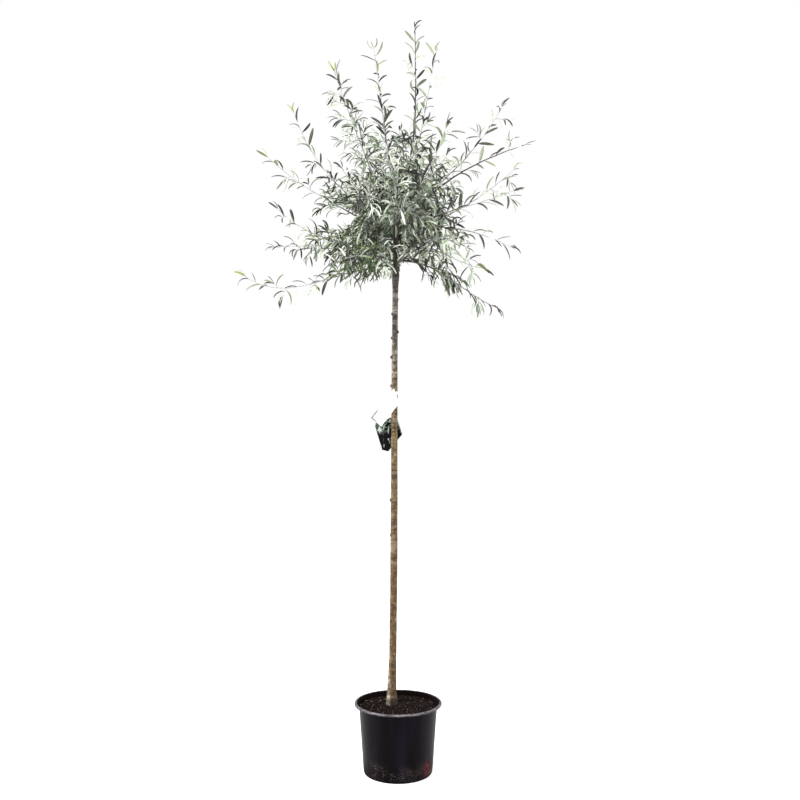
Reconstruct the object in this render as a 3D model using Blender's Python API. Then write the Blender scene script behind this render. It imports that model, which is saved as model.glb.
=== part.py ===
"""Potted weeping pear, a grafted standard: a slim clear stem in a round nursery pot, with a
head of boughs that carry long leafy shoots on all sides.

Metres, +Z up. The origin is the centre of the pot's flat underside. +X is to the right and
-Y is towards the front. Azimuths are degrees about +Z, from +X towards +Y.
"""

import math
import random
from typing import NamedTuple

import bmesh
import bpy
import numpy as np
from mathutils import Matrix

# Clearance between pieces that touch on the real plant
GAP = 0.0003
SHARP_ANGLE = math.radians(35)
UP = np.array((0.0, 0.0, 1.0))
# A direction that no limb runs along, from which the sides of limbs are counted
SKEW = np.array((0.31, 0.17, 0.94))
# How far a curve's handles reach, as a share of the distance between its ends
BEND_HANDLE = 0.4

# Pot, a turned shell of black plastic with a rolled rim
POT_HEIGHT = 0.2335
POT_FOOT_RADIUS = 0.1145
POT_SHOULDER_RADIUS = 0.1305
POT_WALL = 0.0022
RIM_RADIUS = 0.146
RIM_DEPTH = 0.0095
RIM_WIDTH = 0.0130
RIM_BULGE = 0.55
RIM_SWEEP = 80.0
FOOT_ROUND = 0.007
FOOT_CORNER = 0.0021
POT_SIDES = 36
RIM_STEPS = 4
DRAIN_HOLES = 6
DRAIN_HOLE_RADIUS = 0.007
DRAIN_CIRCLE_RADIUS = 0.082
DRAIN_HOLE_SIDES = 10

# Compost that fills the pot to just under its rim and is heaped a little round the trunk
COMPOST_TOP = 0.2275
COMPOST_HEAP = 0.011
COMPOST_FLAT_RADIUS = 0.034

# Trunk, from its flat cut on the compost to its fork in the head
TRUNK_FOOT = COMPOST_TOP + GAP
TRUNK_FORK = 1.870
TRUNK_FOOT_X = -0.0200
TRUNK_FORK_X = -0.0045
TRUNK_FOOT_Y = -0.0060
TRUNK_SWAY = 0.0020
TRUNK_FOOT_RADIUS = 0.0128
TRUNK_TOP_RADIUS = 0.0085
ROOT_FLARE = 0.0055
ROOT_FLARE_HEIGHT = 0.022
GRAFT_HEIGHT = 1.655
GRAFT_SWELL = 0.0024
GRAFT_SPREAD = 0.035
TRUNK_SIDES = 12
TRUNK_RING_HEIGHTS = (0.40, 0.62, 0.84, 1.06, 1.28, 1.48)
FLARE_STATIONS = (0, 0.5, 1.2, 2.4)
GRAFT_STATIONS = (-2, -1, -0.4, 0.4, 1, 2)
WHORL_HEIGHT = 1.80

# Boughs, each one tapering limb from the trunk to where its foliage begins
BOUGH_LENGTH = 0.056
BOUGH_BASE_RADIUS = 0.0042
BOUGH_TIP_RADIUS = 0.0030
BOUGH_SIDES = 6
BOUGH_STEPS = 3
BOUGH_ROOT_SHARE = 0.5
FORK_SHARE = 0.20

# Shoots and twigs, which are three-sided
SHOOT_RADIUS = 0.0031
SIDE_SHOOT_RADIUS = 0.0024
SHOOT_TIP_RADIUS = 0.0014
SHOOT_STEPS = 7
TWIG_RADIUS = 0.0020
TWIG_TIP_RADIUS = 0.0012
TWIG_SIDES = 3
TWIG_SPACING = 0.038
INNER_TWIG = 0.100
OUTER_TWIG = 0.045
TWIG_FORWARD = 0.5
TWIG_BOW = 0.15
GOLDEN_ANGLE = 137.5

# Leaves: long, narrow and arched. Those in the dense middle of the crown each stand for
# a spray, so they are larger than those on the open shoots
HUB = np.array((-0.005, 0.0, 1.87))
DENSE_RADIUS = 0.275
OPEN_LEAF_LENGTH = 0.064
OPEN_LEAF_WIDTH = 0.0125
DENSE_LEAF_LENGTH = 0.106
DENSE_LEAF_WIDTH = 0.0270
LEAF_FOLD = 0.28
LEAF_ROLL = 0.8
LEAF_WIDEST = 0.42
LEAF_ARCH = 0.16
LEAF_DROOP = 0.4
LEAF_LIFT = 0.4
LEAF_ROOT = 0.0006
LEAF_ANGLE = 48.0
TIP_LEAF_ANGLE = 24.0
TIP_LEAF_ROLLS = (40.0, 220.0)
TIP_LEAF_SIZE = 0.75
LEAF_SPACING = 0.0435
TIP_LEAVES = 0.038
# How much angles, in degrees, and lengths, as shares, vary at random
ANGLE_SPREAD = 8.0
ROLL_SPREAD = 20.0
SMALLEST = 0.85
LARGEST = 1.15

# Room kept between one mass and the next, between leaves and limbs, and round the trunk
# under the crown
UNDERSIDE = 1.650
UNDERSIDE_RADIUS = 0.13
SPACE_MARGIN = 0.005
LIMB_MARGIN = 0.0022
LEAF_MARGIN = 0.0075
LIMB_MARK = 0.012
BOUGH_MARK = 0.0047
TRIES = 7
RETRY_TURN = 47.0
RETRY_SHORTER = 0.9
SEED = 41

# Plain label hung from a loop round the trunk, and a card behind it
TAG_THICKNESS = 0.0009
LOOP_SIDES = 12
LOOP_HEIGHT = 1.263
LOOP_DEPTH = 0.009
LABEL_LENGTH = 0.1135
LABEL_WIDTH = 0.0435
LABEL_RISE = 0.0105
LABEL_SLANT = 0.0285
LABEL_TILT = 52.0
CARD_LENGTH = 0.092
CARD_WIDTH = 0.079
CARD_POINT = (-0.0215, 0.011)
CARD_CORNER = 0.030
CARD_TURN = 16.6
CARD_SHIFT = (-0.0168, -0.1343)
CARD_NECK = 0.010
CARD_NECK_FOOT = (0.0584, 0.0552)

LEAF_COLOUR = (0.34, 0.42, 0.30, 1.0)
TRUNK_COLOUR = (0.27, 0.21, 0.15, 1.0)
BOUGH_COLOUR = (0.16, 0.13, 0.11, 1.0)
POT_COLOUR = (0.035, 0.032, 0.040, 1.0)
COMPOST_COLOUR = (0.055, 0.035, 0.026, 1.0)
LABEL_COLOUR = (0.86, 0.88, 0.87, 1.0)


class Tip(NamedTuple):
    """Where a shoot ends: its azimuth and level reach from the trunk, its height, and the
    angle above level at which its tip points."""

    azimuth: float
    reach: float
    height: float
    nod: float


class Head(NamedTuple):
    """A bough and the foliage it carries: the height where it leaves the trunk, its angle
    above level there, and the tips of its shoots. The first shoot carries the others."""

    name: str
    leave: float
    rise: float
    tips: tuple


HEADS = (
    Head("left_low", 1.690, -2, (Tip(178, 0.536, 1.676, 42), Tip(196, 0.270, 1.640, -24))),
    Head("front_left_low", 1.700, 6, (Tip(239, 0.410, 1.640, -20), Tip(262, 0.250, 1.740, 0))),
    Head("front_right_low", 1.694, 14, (Tip(-60, 0.414, 1.720, -16), Tip(-33, 0.369, 1.654, 4))),
    Head("right_low", 1.706, -2, (Tip(-8, 0.370, 1.529, -18), Tip(-22, 0.230, 1.600, -36))),
    Head("back_low", 1.712, 10, (Tip(90, 0.450, 1.800, 0),)),
    Head("left_back", 1.722, 14, (Tip(157, 0.504, 1.774, -2),)),
    Head("left", 1.736, 8, (Tip(200, 0.431, 1.878, 48), Tip(222, 0.270, 1.730, -10))),
    Head("right", 1.746, 42, (Tip(11, 0.429, 1.746, -26),)),
    Head("back_left", 1.748, 30, (Tip(115, 0.463, 2.000, 30), Tip(128, 0.427, 1.760, -10))),
    Head("front", 1.752, 24, (Tip(274, 0.451, 1.850, 10), Tip(262, 0.333, 2.150, 66),
                              Tip(296, 0.260, 1.840, 20))),
    Head("back_right", 1.768, 26, (Tip(62, 0.476, 2.020, 32), Tip(52, 0.449, 1.790, -8))),
    Head("right_front", 1.774, 32, (Tip(-29, 0.455, 1.907, 18),)),
    Head("left_up", 1.778, 33, (Tip(174, 0.465, 2.087, 45),)),
    Head("front_left", 1.790, 30, (Tip(245, 0.419, 1.950, 30), Tip(226, 0.260, 1.870, 20))),
    Head("right_back", 1.786, 22, (Tip(16, 0.449, 2.059, 42),)),
    Head("right_up", 1.806, 50, (Tip(-12, 0.463, 2.079, 15),)),
    Head("left_high", 1.804, 36, (Tip(158, 0.398, 2.275, 72),)),
    Head("front_right", 1.816, 44, (Tip(-64, 0.378, 2.000, 34), Tip(-41, 0.227, 2.158, 72))),
    Head("back_high", 1.818, 50, (Tip(88, 0.305, 2.250, 68),)),
    Head("right_high", 1.832, 44, (Tip(8, 0.380, 2.266, 62),)),
    Head("left_top", 1.838, 58, (Tip(209, 0.246, 2.334, 66),)),
    Head("right_top", 1.850, 62, (Tip(51, 0.231, 2.498, 72),)),
    Head("top_back", 1.856, 80, (Tip(130, 0.131, 2.484, 78),)),
    Head("leader", 1.866, 72, (Tip(-18, 0.064, 2.510, 90),)),
)


def unit(vector):
    """The vector at length 1."""
    return vector / np.linalg.norm(vector)


def heading(azimuth, elevation):
    """The unit vector at an azimuth and an angle above level, in degrees."""
    level = math.cos(math.radians(elevation))
    return np.array(
        (
            level * math.cos(math.radians(azimuth)),
            level * math.sin(math.radians(azimuth)),
            math.sin(math.radians(elevation)),
        )
    )


def trunk_centre(height):
    """The middle of the trunk at a height: it leans to the right and sways a little."""
    share = (height - TRUNK_FOOT) / (TRUNK_FORK - TRUNK_FOOT)
    sway = TRUNK_SWAY * math.sin(2 * math.pi * share)
    x = TRUNK_FOOT_X + (TRUNK_FORK_X - TRUNK_FOOT_X) * share + sway
    return np.array((x, TRUNK_FOOT_Y * (1 - share), height))


def trunk_radius(height):
    """The trunk's taper, with the root flare at its foot and the swelling of the graft."""
    share = (height - TRUNK_FOOT) / (TRUNK_FORK - TRUNK_FOOT)
    taper = TRUNK_FOOT_RADIUS + (TRUNK_TOP_RADIUS - TRUNK_FOOT_RADIUS) * share
    flare = ROOT_FLARE * math.exp(-(height - TRUNK_FOOT) / ROOT_FLARE_HEIGHT)
    graft = GRAFT_SWELL * math.exp(-(((height - GRAFT_HEIGHT) / GRAFT_SPREAD) ** 2))
    return taper + flare + graft


def bend(start, end, out, into, steps=28):
    """Points at even distances along the smooth curve from start, heading out, to end,
    heading into it."""
    handle = BEND_HANDLE * np.linalg.norm(end - start)
    a, b = start + out * handle, end - into * handle
    t = np.linspace(0, 1, 4 * steps + 1)[:, None]
    s = 1 - t
    fine = s**3 * start + 3 * s**2 * t * a + 3 * s * t**2 * b + t**3 * end
    run = np.concatenate([[0], np.cumsum(np.linalg.norm(np.diff(fine, axis=0), axis=1))])
    even = np.linspace(0, run[-1], steps + 1)
    return np.stack([np.interp(even, run, fine[:, k]) for k in range(3)], axis=1)


def along(line, distance):
    """(the point at a distance along a line of points, the direction there)."""
    lengths = np.linalg.norm(np.diff(line, axis=0), axis=1)
    run = np.concatenate([[0], np.cumsum(lengths)])
    at = np.array([np.interp(distance, run, line[:, k]) for k in range(3)])
    i = min(max(int(np.searchsorted(run, distance)) - 1, 0), len(line) - 2)
    return at, unit(line[i + 1] - line[i])


def length_of(line):
    """The length of a line of points."""
    return float(np.linalg.norm(np.diff(line, axis=0), axis=1).sum())


def stretch(line, start, end, steps):
    """Points at even distances along part of a line."""
    return np.array([along(line, d)[0] for d in np.linspace(start, end, steps + 1)])


def short_of(line, distance):
    """A line of points, cut short by a distance at its end."""
    return stretch(line, 0, length_of(line) - distance, len(line) - 1)


def main_line(head):
    """The line of a bough and its first shoot, from inside the trunk to the last leaves."""
    tip = head.tips[0]
    centre = trunk_centre(head.leave)
    root = centre + heading(tip.azimuth, 0) * trunk_radius(head.leave) * BOUGH_ROOT_SHARE
    out, into = heading(tip.azimuth, head.rise), heading(tip.azimuth, tip.nod)
    return short_of(bend(root, tip_point(tip), out, into), TIP_LEAVES)


def tip_point(tip):
    """Where the last leaf of a shoot ends."""
    foot = trunk_centre(TRUNK_FORK)
    level = heading(tip.azimuth, 0) * tip.reach
    return np.array((foot[0] + level[0], foot[1] + level[1], tip.height))


def shoot_lines(head):
    """The lines of a head's shoots: the first runs on from the bough's tip, 0.3 mm clear,
    and the others fork from it."""
    line = main_line(head)
    first = stretch(line, BOUGH_LENGTH + GAP, length_of(line), SHOOT_STEPS)
    lines = [first]
    for tip in head.tips[1:]:
        at, way = along(first, FORK_SHARE * length_of(first))
        side = bend(at, tip_point(tip), way, heading(tip.azimuth, tip.nod), SHOOT_STEPS)
        lines.append(short_of(side, TIP_LEAVES))
    return lines


def loft(bm, rings):
    """A closed skin over rings of points, a ring of one point being a tip."""
    rows = [[bm.verts.new(p) for p in ring] for ring in rings]
    for low, high in zip(rows, rows[1:]):
        n = max(len(low), len(high))
        for i in range(n):
            j = (i + 1) % n
            if len(high) == 1:
                bm.faces.new((low[i], low[j], high[0]))
            else:
                bm.faces.new((low[i], low[j], high[j], high[i]))
    bm.faces.new(list(reversed(rows[0])))
    if len(rows[-1]) > 2:
        bm.faces.new(rows[-1])


def ring(centre, across, over, radius, sides):
    """A ring of points round a centre, in the plane of two directions."""
    angles = 2 * np.pi * np.arange(sides) / sides
    return [centre + radius * (math.cos(a) * across + math.sin(a) * over) for a in angles]


def level_ring(centre, radius, sides):
    """A level ring of points round a centre."""
    return ring(centre, np.array((1.0, 0.0, 0.0)), np.array((0.0, 1.0, 0.0)), radius, sides)


def tube(bm, line, start_radius, end_radius, sides):
    """A tapering round limb along a line. Its sides don't twist, as each ring is turned to
    follow the one before it."""
    ways = [unit(way) for way in np.gradient(line, axis=0)]
    radii = np.linspace(start_radius, end_radius, len(line))
    across = np.cross(SKEW, ways[0])
    rings = []
    for centre, way, radius in zip(line, ways, radii):
        across = unit(across - way * np.dot(across, way))
        rings.append(ring(centre, across, np.cross(way, across), radius, sides))
    loft(bm, rings)


def leaf_rings(root, way, up, length, width):
    """A narrow leaf in three stations: its root, its widest part and its tip. It arches
    over, and is folded along its midrib, which makes it a slim three-sided solid."""
    side = unit(np.cross(way, up))
    over = np.cross(side, way)
    middle = root + way * length * LEAF_WIDEST + over * length * LEAF_ARCH
    tip = root + way * length - over * length * LEAF_ARCH * LEAF_DROOP
    return [
        [
            root - side * LEAF_ROOT,
            root + side * LEAF_ROOT,
            root - over * LEAF_ROOT,
        ],
        [
            middle - side * width / 2,
            middle + side * width / 2,
            middle - over * width * LEAF_FOLD,
        ],
        [tip],
    ]


def sideways(way, roll):
    """The unit vector square to a direction, on the side that roll gives in degrees."""
    across = unit(np.cross(way, SKEW))
    turn = math.radians(roll)
    return across * math.cos(turn) + np.cross(way, across) * math.sin(turn)


def object_of(name, bm, material):
    """A named object from a bmesh, which is used up. Its round sides are shaded smooth."""
    bmesh.ops.recalc_face_normals(bm, faces=bm.faces)
    mesh = bpy.data.meshes.new(name)
    bm.to_mesh(mesh)
    bm.free()
    mesh.shade_smooth()
    mesh.set_sharp_from_angle(angle=SHARP_ANGLE)
    mesh.materials.append(material)
    thing = bpy.data.objects.new(name, mesh)
    bpy.context.scene.collection.objects.link(thing)
    return thing


def finish_of(name, colour, roughness):
    """A material with a plain colour."""
    material = bpy.data.materials.new(name)
    material.use_nodes = True
    shader = material.node_tree.nodes["Principled BSDF"]
    shader.inputs["Base Color"].default_value = colour
    shader.inputs["Roughness"].default_value = roughness
    return material


def shaped(thing, kind, other):
    """Applies an exact Boolean of an object, or of a collection, to a thing."""
    modifier = thing.modifiers.new(kind.lower(), "BOOLEAN")
    modifier.operation = kind
    modifier.solver = "EXACT"
    if isinstance(other, bpy.types.Collection):
        modifier.operand_type = "COLLECTION"
        modifier.collection = other
    else:
        modifier.object = other
    bpy.context.view_layer.update()
    graph = bpy.context.evaluated_depsgraph_get()
    made = bpy.data.meshes.new_from_object(thing.evaluated_get(graph), depsgraph=graph)
    thing.modifiers.remove(modifier)
    thing.data = made


def keep_largest_shell(thing):
    """Keeps a solid's largest shell, so a hollow that fusing sealed is filled and a loose
    scrap is dropped."""
    bm = bmesh.new()
    bm.from_mesh(thing.data)
    shells, seen = [], set()
    for start in bm.verts:
        if start in seen:
            continue
        seen.add(start)
        shell = [start]
        for vert in shell:
            near = [edge.other_vert(vert) for edge in vert.link_edges]
            fresh = [other for other in near if other not in seen]
            seen.update(fresh)
            shell.extend(dict.fromkeys(fresh))
        shells.append(shell)
    kept = set(max(shells, key=len))
    spare = [vert for vert in bm.verts if vert not in kept]
    bmesh.ops.delete(bm, geom=spare, context="VERTS")
    bm.to_mesh(thing.data)
    bm.free()


def turned(name, profile, sides, material):
    """A solid of revolution about Z, from (radius, height) points that start and end on
    the axis."""
    bm = bmesh.new()
    points = [bm.verts.new((radius, 0.0, height)) for radius, height in profile]
    edges = [bm.edges.new(pair) for pair in zip(points, points[1:])]
    bmesh.ops.spin(
        bm,
        geom=points + edges,
        cent=(0, 0, 0),
        axis=(0, 0, 1),
        angle=2 * math.pi,
        steps=sides,
        use_merge=True,
    )
    bmesh.ops.remove_doubles(bm, verts=bm.verts, dist=0.00001)
    return object_of(name, bm, material)


def wall_radius(height):
    """The outer radius of the pot's straight tapering wall."""
    share = height / (POT_HEIGHT - RIM_DEPTH)
    return POT_FOOT_RADIUS + (POT_SHOULDER_RADIUS - POT_FOOT_RADIUS) * share


def pot_profile():
    """The pot's section: underside, outer wall, rolled rim, inner wall and floor."""
    neck = POT_HEIGHT - RIM_DEPTH
    roll = RIM_DEPTH / 2
    middle = RIM_RADIUS - roll * RIM_BULGE
    outer = [
        (0.0, 0.0),
        (wall_radius(0) - FOOT_ROUND, 0.0),
        (wall_radius(0) - FOOT_CORNER, FOOT_CORNER),
        (wall_radius(0), FOOT_ROUND),
        (wall_radius(neck), neck),
    ]
    for i in range(RIM_STEPS + 1):
        angle = math.radians(RIM_SWEEP * (2 * i / RIM_STEPS - 1))
        outer.append(
            (
                middle + (RIM_RADIUS - middle) * math.cos(angle),
                neck + roll + roll * math.sin(angle),
            )
        )
    inner = [
        (RIM_RADIUS - RIM_WIDTH, POT_HEIGHT - RIM_DEPTH / 4),
        (wall_radius(neck) - POT_WALL, neck),
        (wall_radius(POT_WALL) - POT_WALL, POT_WALL),
        (0.0, POT_WALL),
    ]
    return outer + inner


def make_pot(material):
    """The pot, with a circle of drain holes through its floor."""
    pot = turned("pot", pot_profile(), POT_SIDES, material)
    for i in range(DRAIN_HOLES):
        bm = bmesh.new()
        bmesh.ops.create_cone(
            bm,
            cap_ends=True,
            segments=DRAIN_HOLE_SIDES,
            radius1=DRAIN_HOLE_RADIUS,
            radius2=DRAIN_HOLE_RADIUS,
            depth=6 * POT_WALL,
            matrix=Matrix.Rotation(2 * math.pi * (i + 0.5) / DRAIN_HOLES, 4, "Z")
            @ Matrix.Translation((DRAIN_CIRCLE_RADIUS, 0, 0)),
        )
        hole = object_of(f"drain_hole_{i}", bm, material)
        shaped(pot, "DIFFERENCE", hole)
        bpy.data.objects.remove(hole)


def make_compost(material):
    """The compost, a plug that fills the pot and rises to a flat middle, where the trunk
    stands."""
    floor = POT_WALL + GAP
    edge_height = COMPOST_TOP - COMPOST_HEAP
    neck = POT_HEIGHT - RIM_DEPTH

    def inner(height):
        share = (height - POT_WALL) / (neck - POT_WALL)
        low, high = wall_radius(POT_WALL), wall_radius(neck)
        facet = math.cos(math.pi / POT_SIDES)
        return (low + (high - low) * min(share, 1) - POT_WALL) * facet - 2 * GAP

    profile = [
        (0.0, floor),
        (inner(floor), floor),
        (inner(edge_height), edge_height),
        (COMPOST_FLAT_RADIUS, COMPOST_TOP),
        (0.0, COMPOST_TOP),
    ]
    turned("compost", profile, POT_SIDES, material)


def trunk_rings(extra, heights):
    """Rings round the trunk at these heights, an extra distance out from its bark."""
    return [level_ring(trunk_centre(h), trunk_radius(h) + extra, TRUNK_SIDES) for h in heights]


def trunk_heights():
    """Heights for the trunk's rings: close at the flare and the graft, and even between."""
    flare = [TRUNK_FOOT + ROOT_FLARE_HEIGHT * k for k in FLARE_STATIONS]
    graft = [GRAFT_HEIGHT + GRAFT_SPREAD * k for k in GRAFT_STATIONS]
    return flare + list(TRUNK_RING_HEIGHTS) + graft + [WHORL_HEIGHT, TRUNK_FORK]


def make_trunk(material):
    """The trunk, from its flat cut on the compost to its fork."""
    bm = bmesh.new()
    loft(bm, trunk_rings(0.0, trunk_heights()))
    object_of("trunk", bm, material)


def make_boughs(material):
    """The boughs, each cut to the trunk's bark with the clearance between."""
    bm = bmesh.new()
    heights = [h for h in trunk_heights() if h > GRAFT_HEIGHT - 2 * GRAFT_SPREAD]
    heights[-1] = TRUNK_FORK + GAP
    loft(bm, trunk_rings(GAP, heights))
    sleeve = object_of("sleeve", bm, material)
    for head in HEADS:
        bm = bmesh.new()
        line = stretch(main_line(head), 0, BOUGH_LENGTH, BOUGH_STEPS)
        tube(bm, line, BOUGH_BASE_RADIUS, BOUGH_TIP_RADIUS, BOUGH_SIDES)
        bough = object_of(f"bough_{head.name}", bm, material)
        shaped(bough, "DIFFERENCE", sleeve)
    bpy.data.objects.remove(sleeve)


class Space:
    """The room round the shoots of each head: every point belongs to the nearest head's
    shoots, and the trunk and boughs are kept clear."""

    def __init__(self):
        self.shoots = {head.name: np.concatenate(shoot_lines(head)) for head in HEADS}
        limbs = []
        for head in HEADS:
            line = stretch(main_line(head), 0, BOUGH_LENGTH, round(BOUGH_LENGTH / BOUGH_MARK))
            radii = np.linspace(BOUGH_BASE_RADIUS, BOUGH_TIP_RADIUS, len(line))
            limbs.append(np.column_stack([line, radii]))
        heights = np.arange(TRUNK_RING_HEIGHTS[-1], TRUNK_FORK, trunk_radius(TRUNK_FORK))
        trunk = [[*trunk_centre(h), trunk_radius(h)] for h in heights]
        self.limbs = np.concatenate([*limbs, np.array(trunk)])

    def holds(self, name, points):
        """True if all these points are in the named head's room."""
        beside = np.linalg.norm(points[:, :2] - HUB[:2], axis=1) < UNDERSIDE_RADIUS
        if (beside & (points[:, 2] < UNDERSIDE)).any():
            return False
        near = {
            n: np.linalg.norm(points[:, None] - line[None], axis=2).min(axis=1)
            for n, line in self.shoots.items()
        }
        others = np.min([d for n, d in near.items() if n != name], axis=0)
        if (others - near[name] < SPACE_MARGIN).any():
            return False
        away = np.linalg.norm(points[:, None] - self.limbs[None, :, :3], axis=2)
        return bool((away - self.limbs[None, :, 3] > LIMB_MARGIN).all())


class Mass:
    """The foliage of one head: shoots, the twigs on them, and leaves on both."""

    def __init__(self, head, space, seed):
        self.head = head
        self.space = space
        self.draw = random.Random(seed)
        self.pieces = []
        self.taken = np.empty((0, 3))
        self.leaves = 0

    def take(self, points):
        """Notes points that other leaves then keep off."""
        self.taken = np.concatenate([self.taken, points])

    def fits(self, points):
        """True if these points are in the mass's own space and off what is there already."""
        away = np.linalg.norm(points[:, None] - self.taken[None], axis=2)
        return away.min() > LEAF_MARGIN and self.space.holds(self.head.name, points)

    def add_limb(self, line, start_radius, end_radius):
        """Keeps a shoot or a twig as a piece to fuse."""
        bm = bmesh.new()
        tube(bm, line, start_radius, end_radius, TWIG_SIDES)
        self.pieces.append(bm)
        marks = max(2, round(length_of(line) / LIMB_MARK))
        self.take(stretch(line, 0, length_of(line), marks))

    def add_leaf(self, root, way, roll, angle=LEAF_ANGLE, size=1.0):
        """Adds a leaf that leaves a twig at an angle, on the side that roll gives, and
        arches over. It is turned further round until it is in the mass's own space, and is
        skipped if it never is."""
        share = min(np.linalg.norm(root - HUB) / DENSE_RADIUS, 1) ** 2
        length = (DENSE_LEAF_LENGTH + (OPEN_LEAF_LENGTH - DENSE_LEAF_LENGTH) * share) * size
        width = (DENSE_LEAF_WIDTH + (OPEN_LEAF_WIDTH - DENSE_LEAF_WIDTH) * share) * size
        for attempt in range(TRIES):
            outward = sideways(way, roll + RETRY_TURN * attempt)
            spread = math.radians(angle + self.draw.uniform(-ANGLE_SPREAD, ANGLE_SPREAD))
            ahead = unit(way * math.cos(spread) + outward * math.sin(spread))
            roll_over = sideways(ahead, self.draw.uniform(0, 360)) * LEAF_ROLL
            up = unit(outward * LEAF_LIFT + UP - ahead * ahead[2] + roll_over)
            rings = leaf_rings(root, ahead, up, length, width)
            middle, tip = np.array(rings[1]), rings[2][0]
            outline = np.array([*middle, tip, (middle[0] + tip) / 2, (middle[1] + tip) / 2])
            if self.fits(outline):
                bm = bmesh.new()
                loft(bm, rings)
                self.pieces.append(bm)
                self.take(outline)
                self.leaves += 1
                return

    def add_twig(self, root, way, roll, length):
        """Adds a short twig that leaves a shoot sideways and bows down, with its leaves. It
        is turned and shortened like a leaf that doesn't fit."""
        for attempt in range(TRIES):
            ahead = unit(way * TWIG_FORWARD + sideways(way, roll + RETRY_TURN * attempt))
            end = root + (ahead - UP * TWIG_BOW) * length
            if self.fits(np.array([(root + end) / 2, end])):
                break
            length *= RETRY_SHORTER
        else:
            return
        self.add_limb(np.array([root, end]), TWIG_RADIUS, TWIG_TIP_RADIUS)
        towards = unit(end - root)
        count = max(1, round(length / LEAF_SPACING))
        for i in range(count):
            at = root + (end - root) * (i + 0.5) / count
            self.add_leaf(at, towards, roll + GOLDEN_ANGLE * (i + 1))
        self.add_leaf(end - towards * TWIG_TIP_RADIUS, towards, roll, TIP_LEAF_ANGLE)

    def clothe(self, line):
        """Puts twigs along a shoot where the crown is dense, and leaves beyond."""
        total = length_of(line)
        distance, step = TWIG_SPACING / 4, 0
        while distance < total - TWIG_SPACING / 3:
            at, way = along(line, distance)
            roll = GOLDEN_ANGLE * step + self.draw.uniform(-ROLL_SPREAD, ROLL_SPREAD)
            share = np.linalg.norm(at - HUB) / DENSE_RADIUS
            if share < 1:
                length = INNER_TWIG + (OUTER_TWIG - INNER_TWIG) * share
                self.add_twig(at, way, roll, length * self.draw.uniform(SMALLEST, LARGEST))
                spacing = TWIG_SPACING
            else:
                self.add_leaf(at, way, roll, size=self.draw.uniform(SMALLEST, 1.0))
                spacing = LEAF_SPACING
            distance += spacing * self.draw.uniform(SMALLEST, LARGEST)
            step += 1
        at, way = along(line, total - SHOOT_TIP_RADIUS)
        for roll in TIP_LEAF_ROLLS:
            self.add_leaf(at, way, roll, TIP_LEAF_ANGLE, TIP_LEAF_SIZE)

    def grow(self):
        """Grows the shoots and clothes them."""
        lines = shoot_lines(self.head)
        self.add_limb(lines[0], SHOOT_RADIUS, SHOOT_TIP_RADIUS)
        self.clothe(lines[0])
        for line in lines[1:]:
            self.add_limb(line, SIDE_SHOOT_RADIUS, SHOOT_TIP_RADIUS)
            self.clothe(line[1:])

    def fuse(self, material):
        """Joins the pieces into one solid."""
        name = f"foliage_{self.head.name}"
        whole = object_of(name, self.pieces[0], material)
        group = bpy.data.collections.new("to_fuse")
        bpy.context.scene.collection.children.link(group)
        for i, bm in enumerate(self.pieces[1:]):
            piece = object_of(f"piece_{i}", bm, material)
            bpy.context.scene.collection.objects.unlink(piece)
            group.objects.link(piece)
        shaped(whole, "UNION", group)
        keep_largest_shell(whole)
        for piece in list(group.objects):
            bpy.data.objects.remove(piece)
        bpy.data.collections.remove(group)


def plate(name, outline, front, material):
    """A thin upright plate from its outline in (x, z), with its front face at y = front."""
    bm = bmesh.new()
    loft(bm, [[(x, front + depth, z) for x, z in outline] for depth in (0, TAG_THICKNESS)])
    object_of(name, bm, material)


def turned_outline(outline, degrees, centre):
    """An outline turned in its plane and moved to a centre."""
    cos, sin = math.cos(math.radians(degrees)), math.sin(math.radians(degrees))
    return [(centre[0] + x * cos - z * sin, centre[1] + x * sin + z * cos) for x, z in outline]


def make_loop(material):
    """The loop round the trunk that the tag hangs from. Returns its inner radius."""
    heights = (LOOP_HEIGHT - LOOP_DEPTH / 2, LOOP_HEIGHT + LOOP_DEPTH / 2)
    inside = trunk_radius(heights[0]) + GAP
    outside = inside + TAG_THICKNESS
    section = zip((inside, outside, outside, inside), (heights[0], *heights, heights[1]))
    bm = bmesh.new()
    rings = [
        [bm.verts.new(p) for p in level_ring(trunk_centre(height), radius, LOOP_SIDES)]
        for radius, height in section
    ]
    for near, far in zip(rings, rings[1:] + rings[:1]):
        for i in range(LOOP_SIDES):
            j = (i + 1) % LOOP_SIDES
            bm.faces.new((near[i], near[j], far[j], far[i]))
    object_of("tag_loop", bm, material)
    return inside


def make_label(centre, front, material):
    """The strip that hangs in front of the trunk, with one end cut at a slant."""
    high, low = LABEL_RISE, LABEL_RISE - LABEL_WIDTH
    label = [(LABEL_RISE - LABEL_SLANT, low), (LABEL_RISE, high)]
    label += [(-LABEL_LENGTH, high), (-LABEL_LENGTH, low)]
    outline = turned_outline(label, LABEL_TILT, (centre[0], LOOP_HEIGHT))
    plate("tag_label", outline, front, material)


def make_card(centre, front, material):
    """The card that hangs behind the trunk, with a neck up to the loop."""
    side, end = CARD_WIDTH / 2, CARD_LENGTH / 2
    card = [(-side, end), (-side, -end), (CARD_POINT[0], -end - CARD_POINT[1])]
    card += [(side, CARD_CORNER - end), (side, end)]
    middle = (centre[0] + CARD_SHIFT[0], LOOP_HEIGHT + CARD_SHIFT[1])
    outline = turned_outline(card, CARD_TURN, middle)
    right, left = centre[0] + CARD_NECK / 2, centre[0] - CARD_NECK / 2
    top = LOOP_HEIGHT + LOOP_DEPTH / 2
    outline += [(right, middle[1] + CARD_NECK_FOOT[0]), (right, top)]
    outline += [(left, top), (left, middle[1] + CARD_NECK_FOOT[1])]
    plate("tag_card", outline, front, material)


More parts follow.
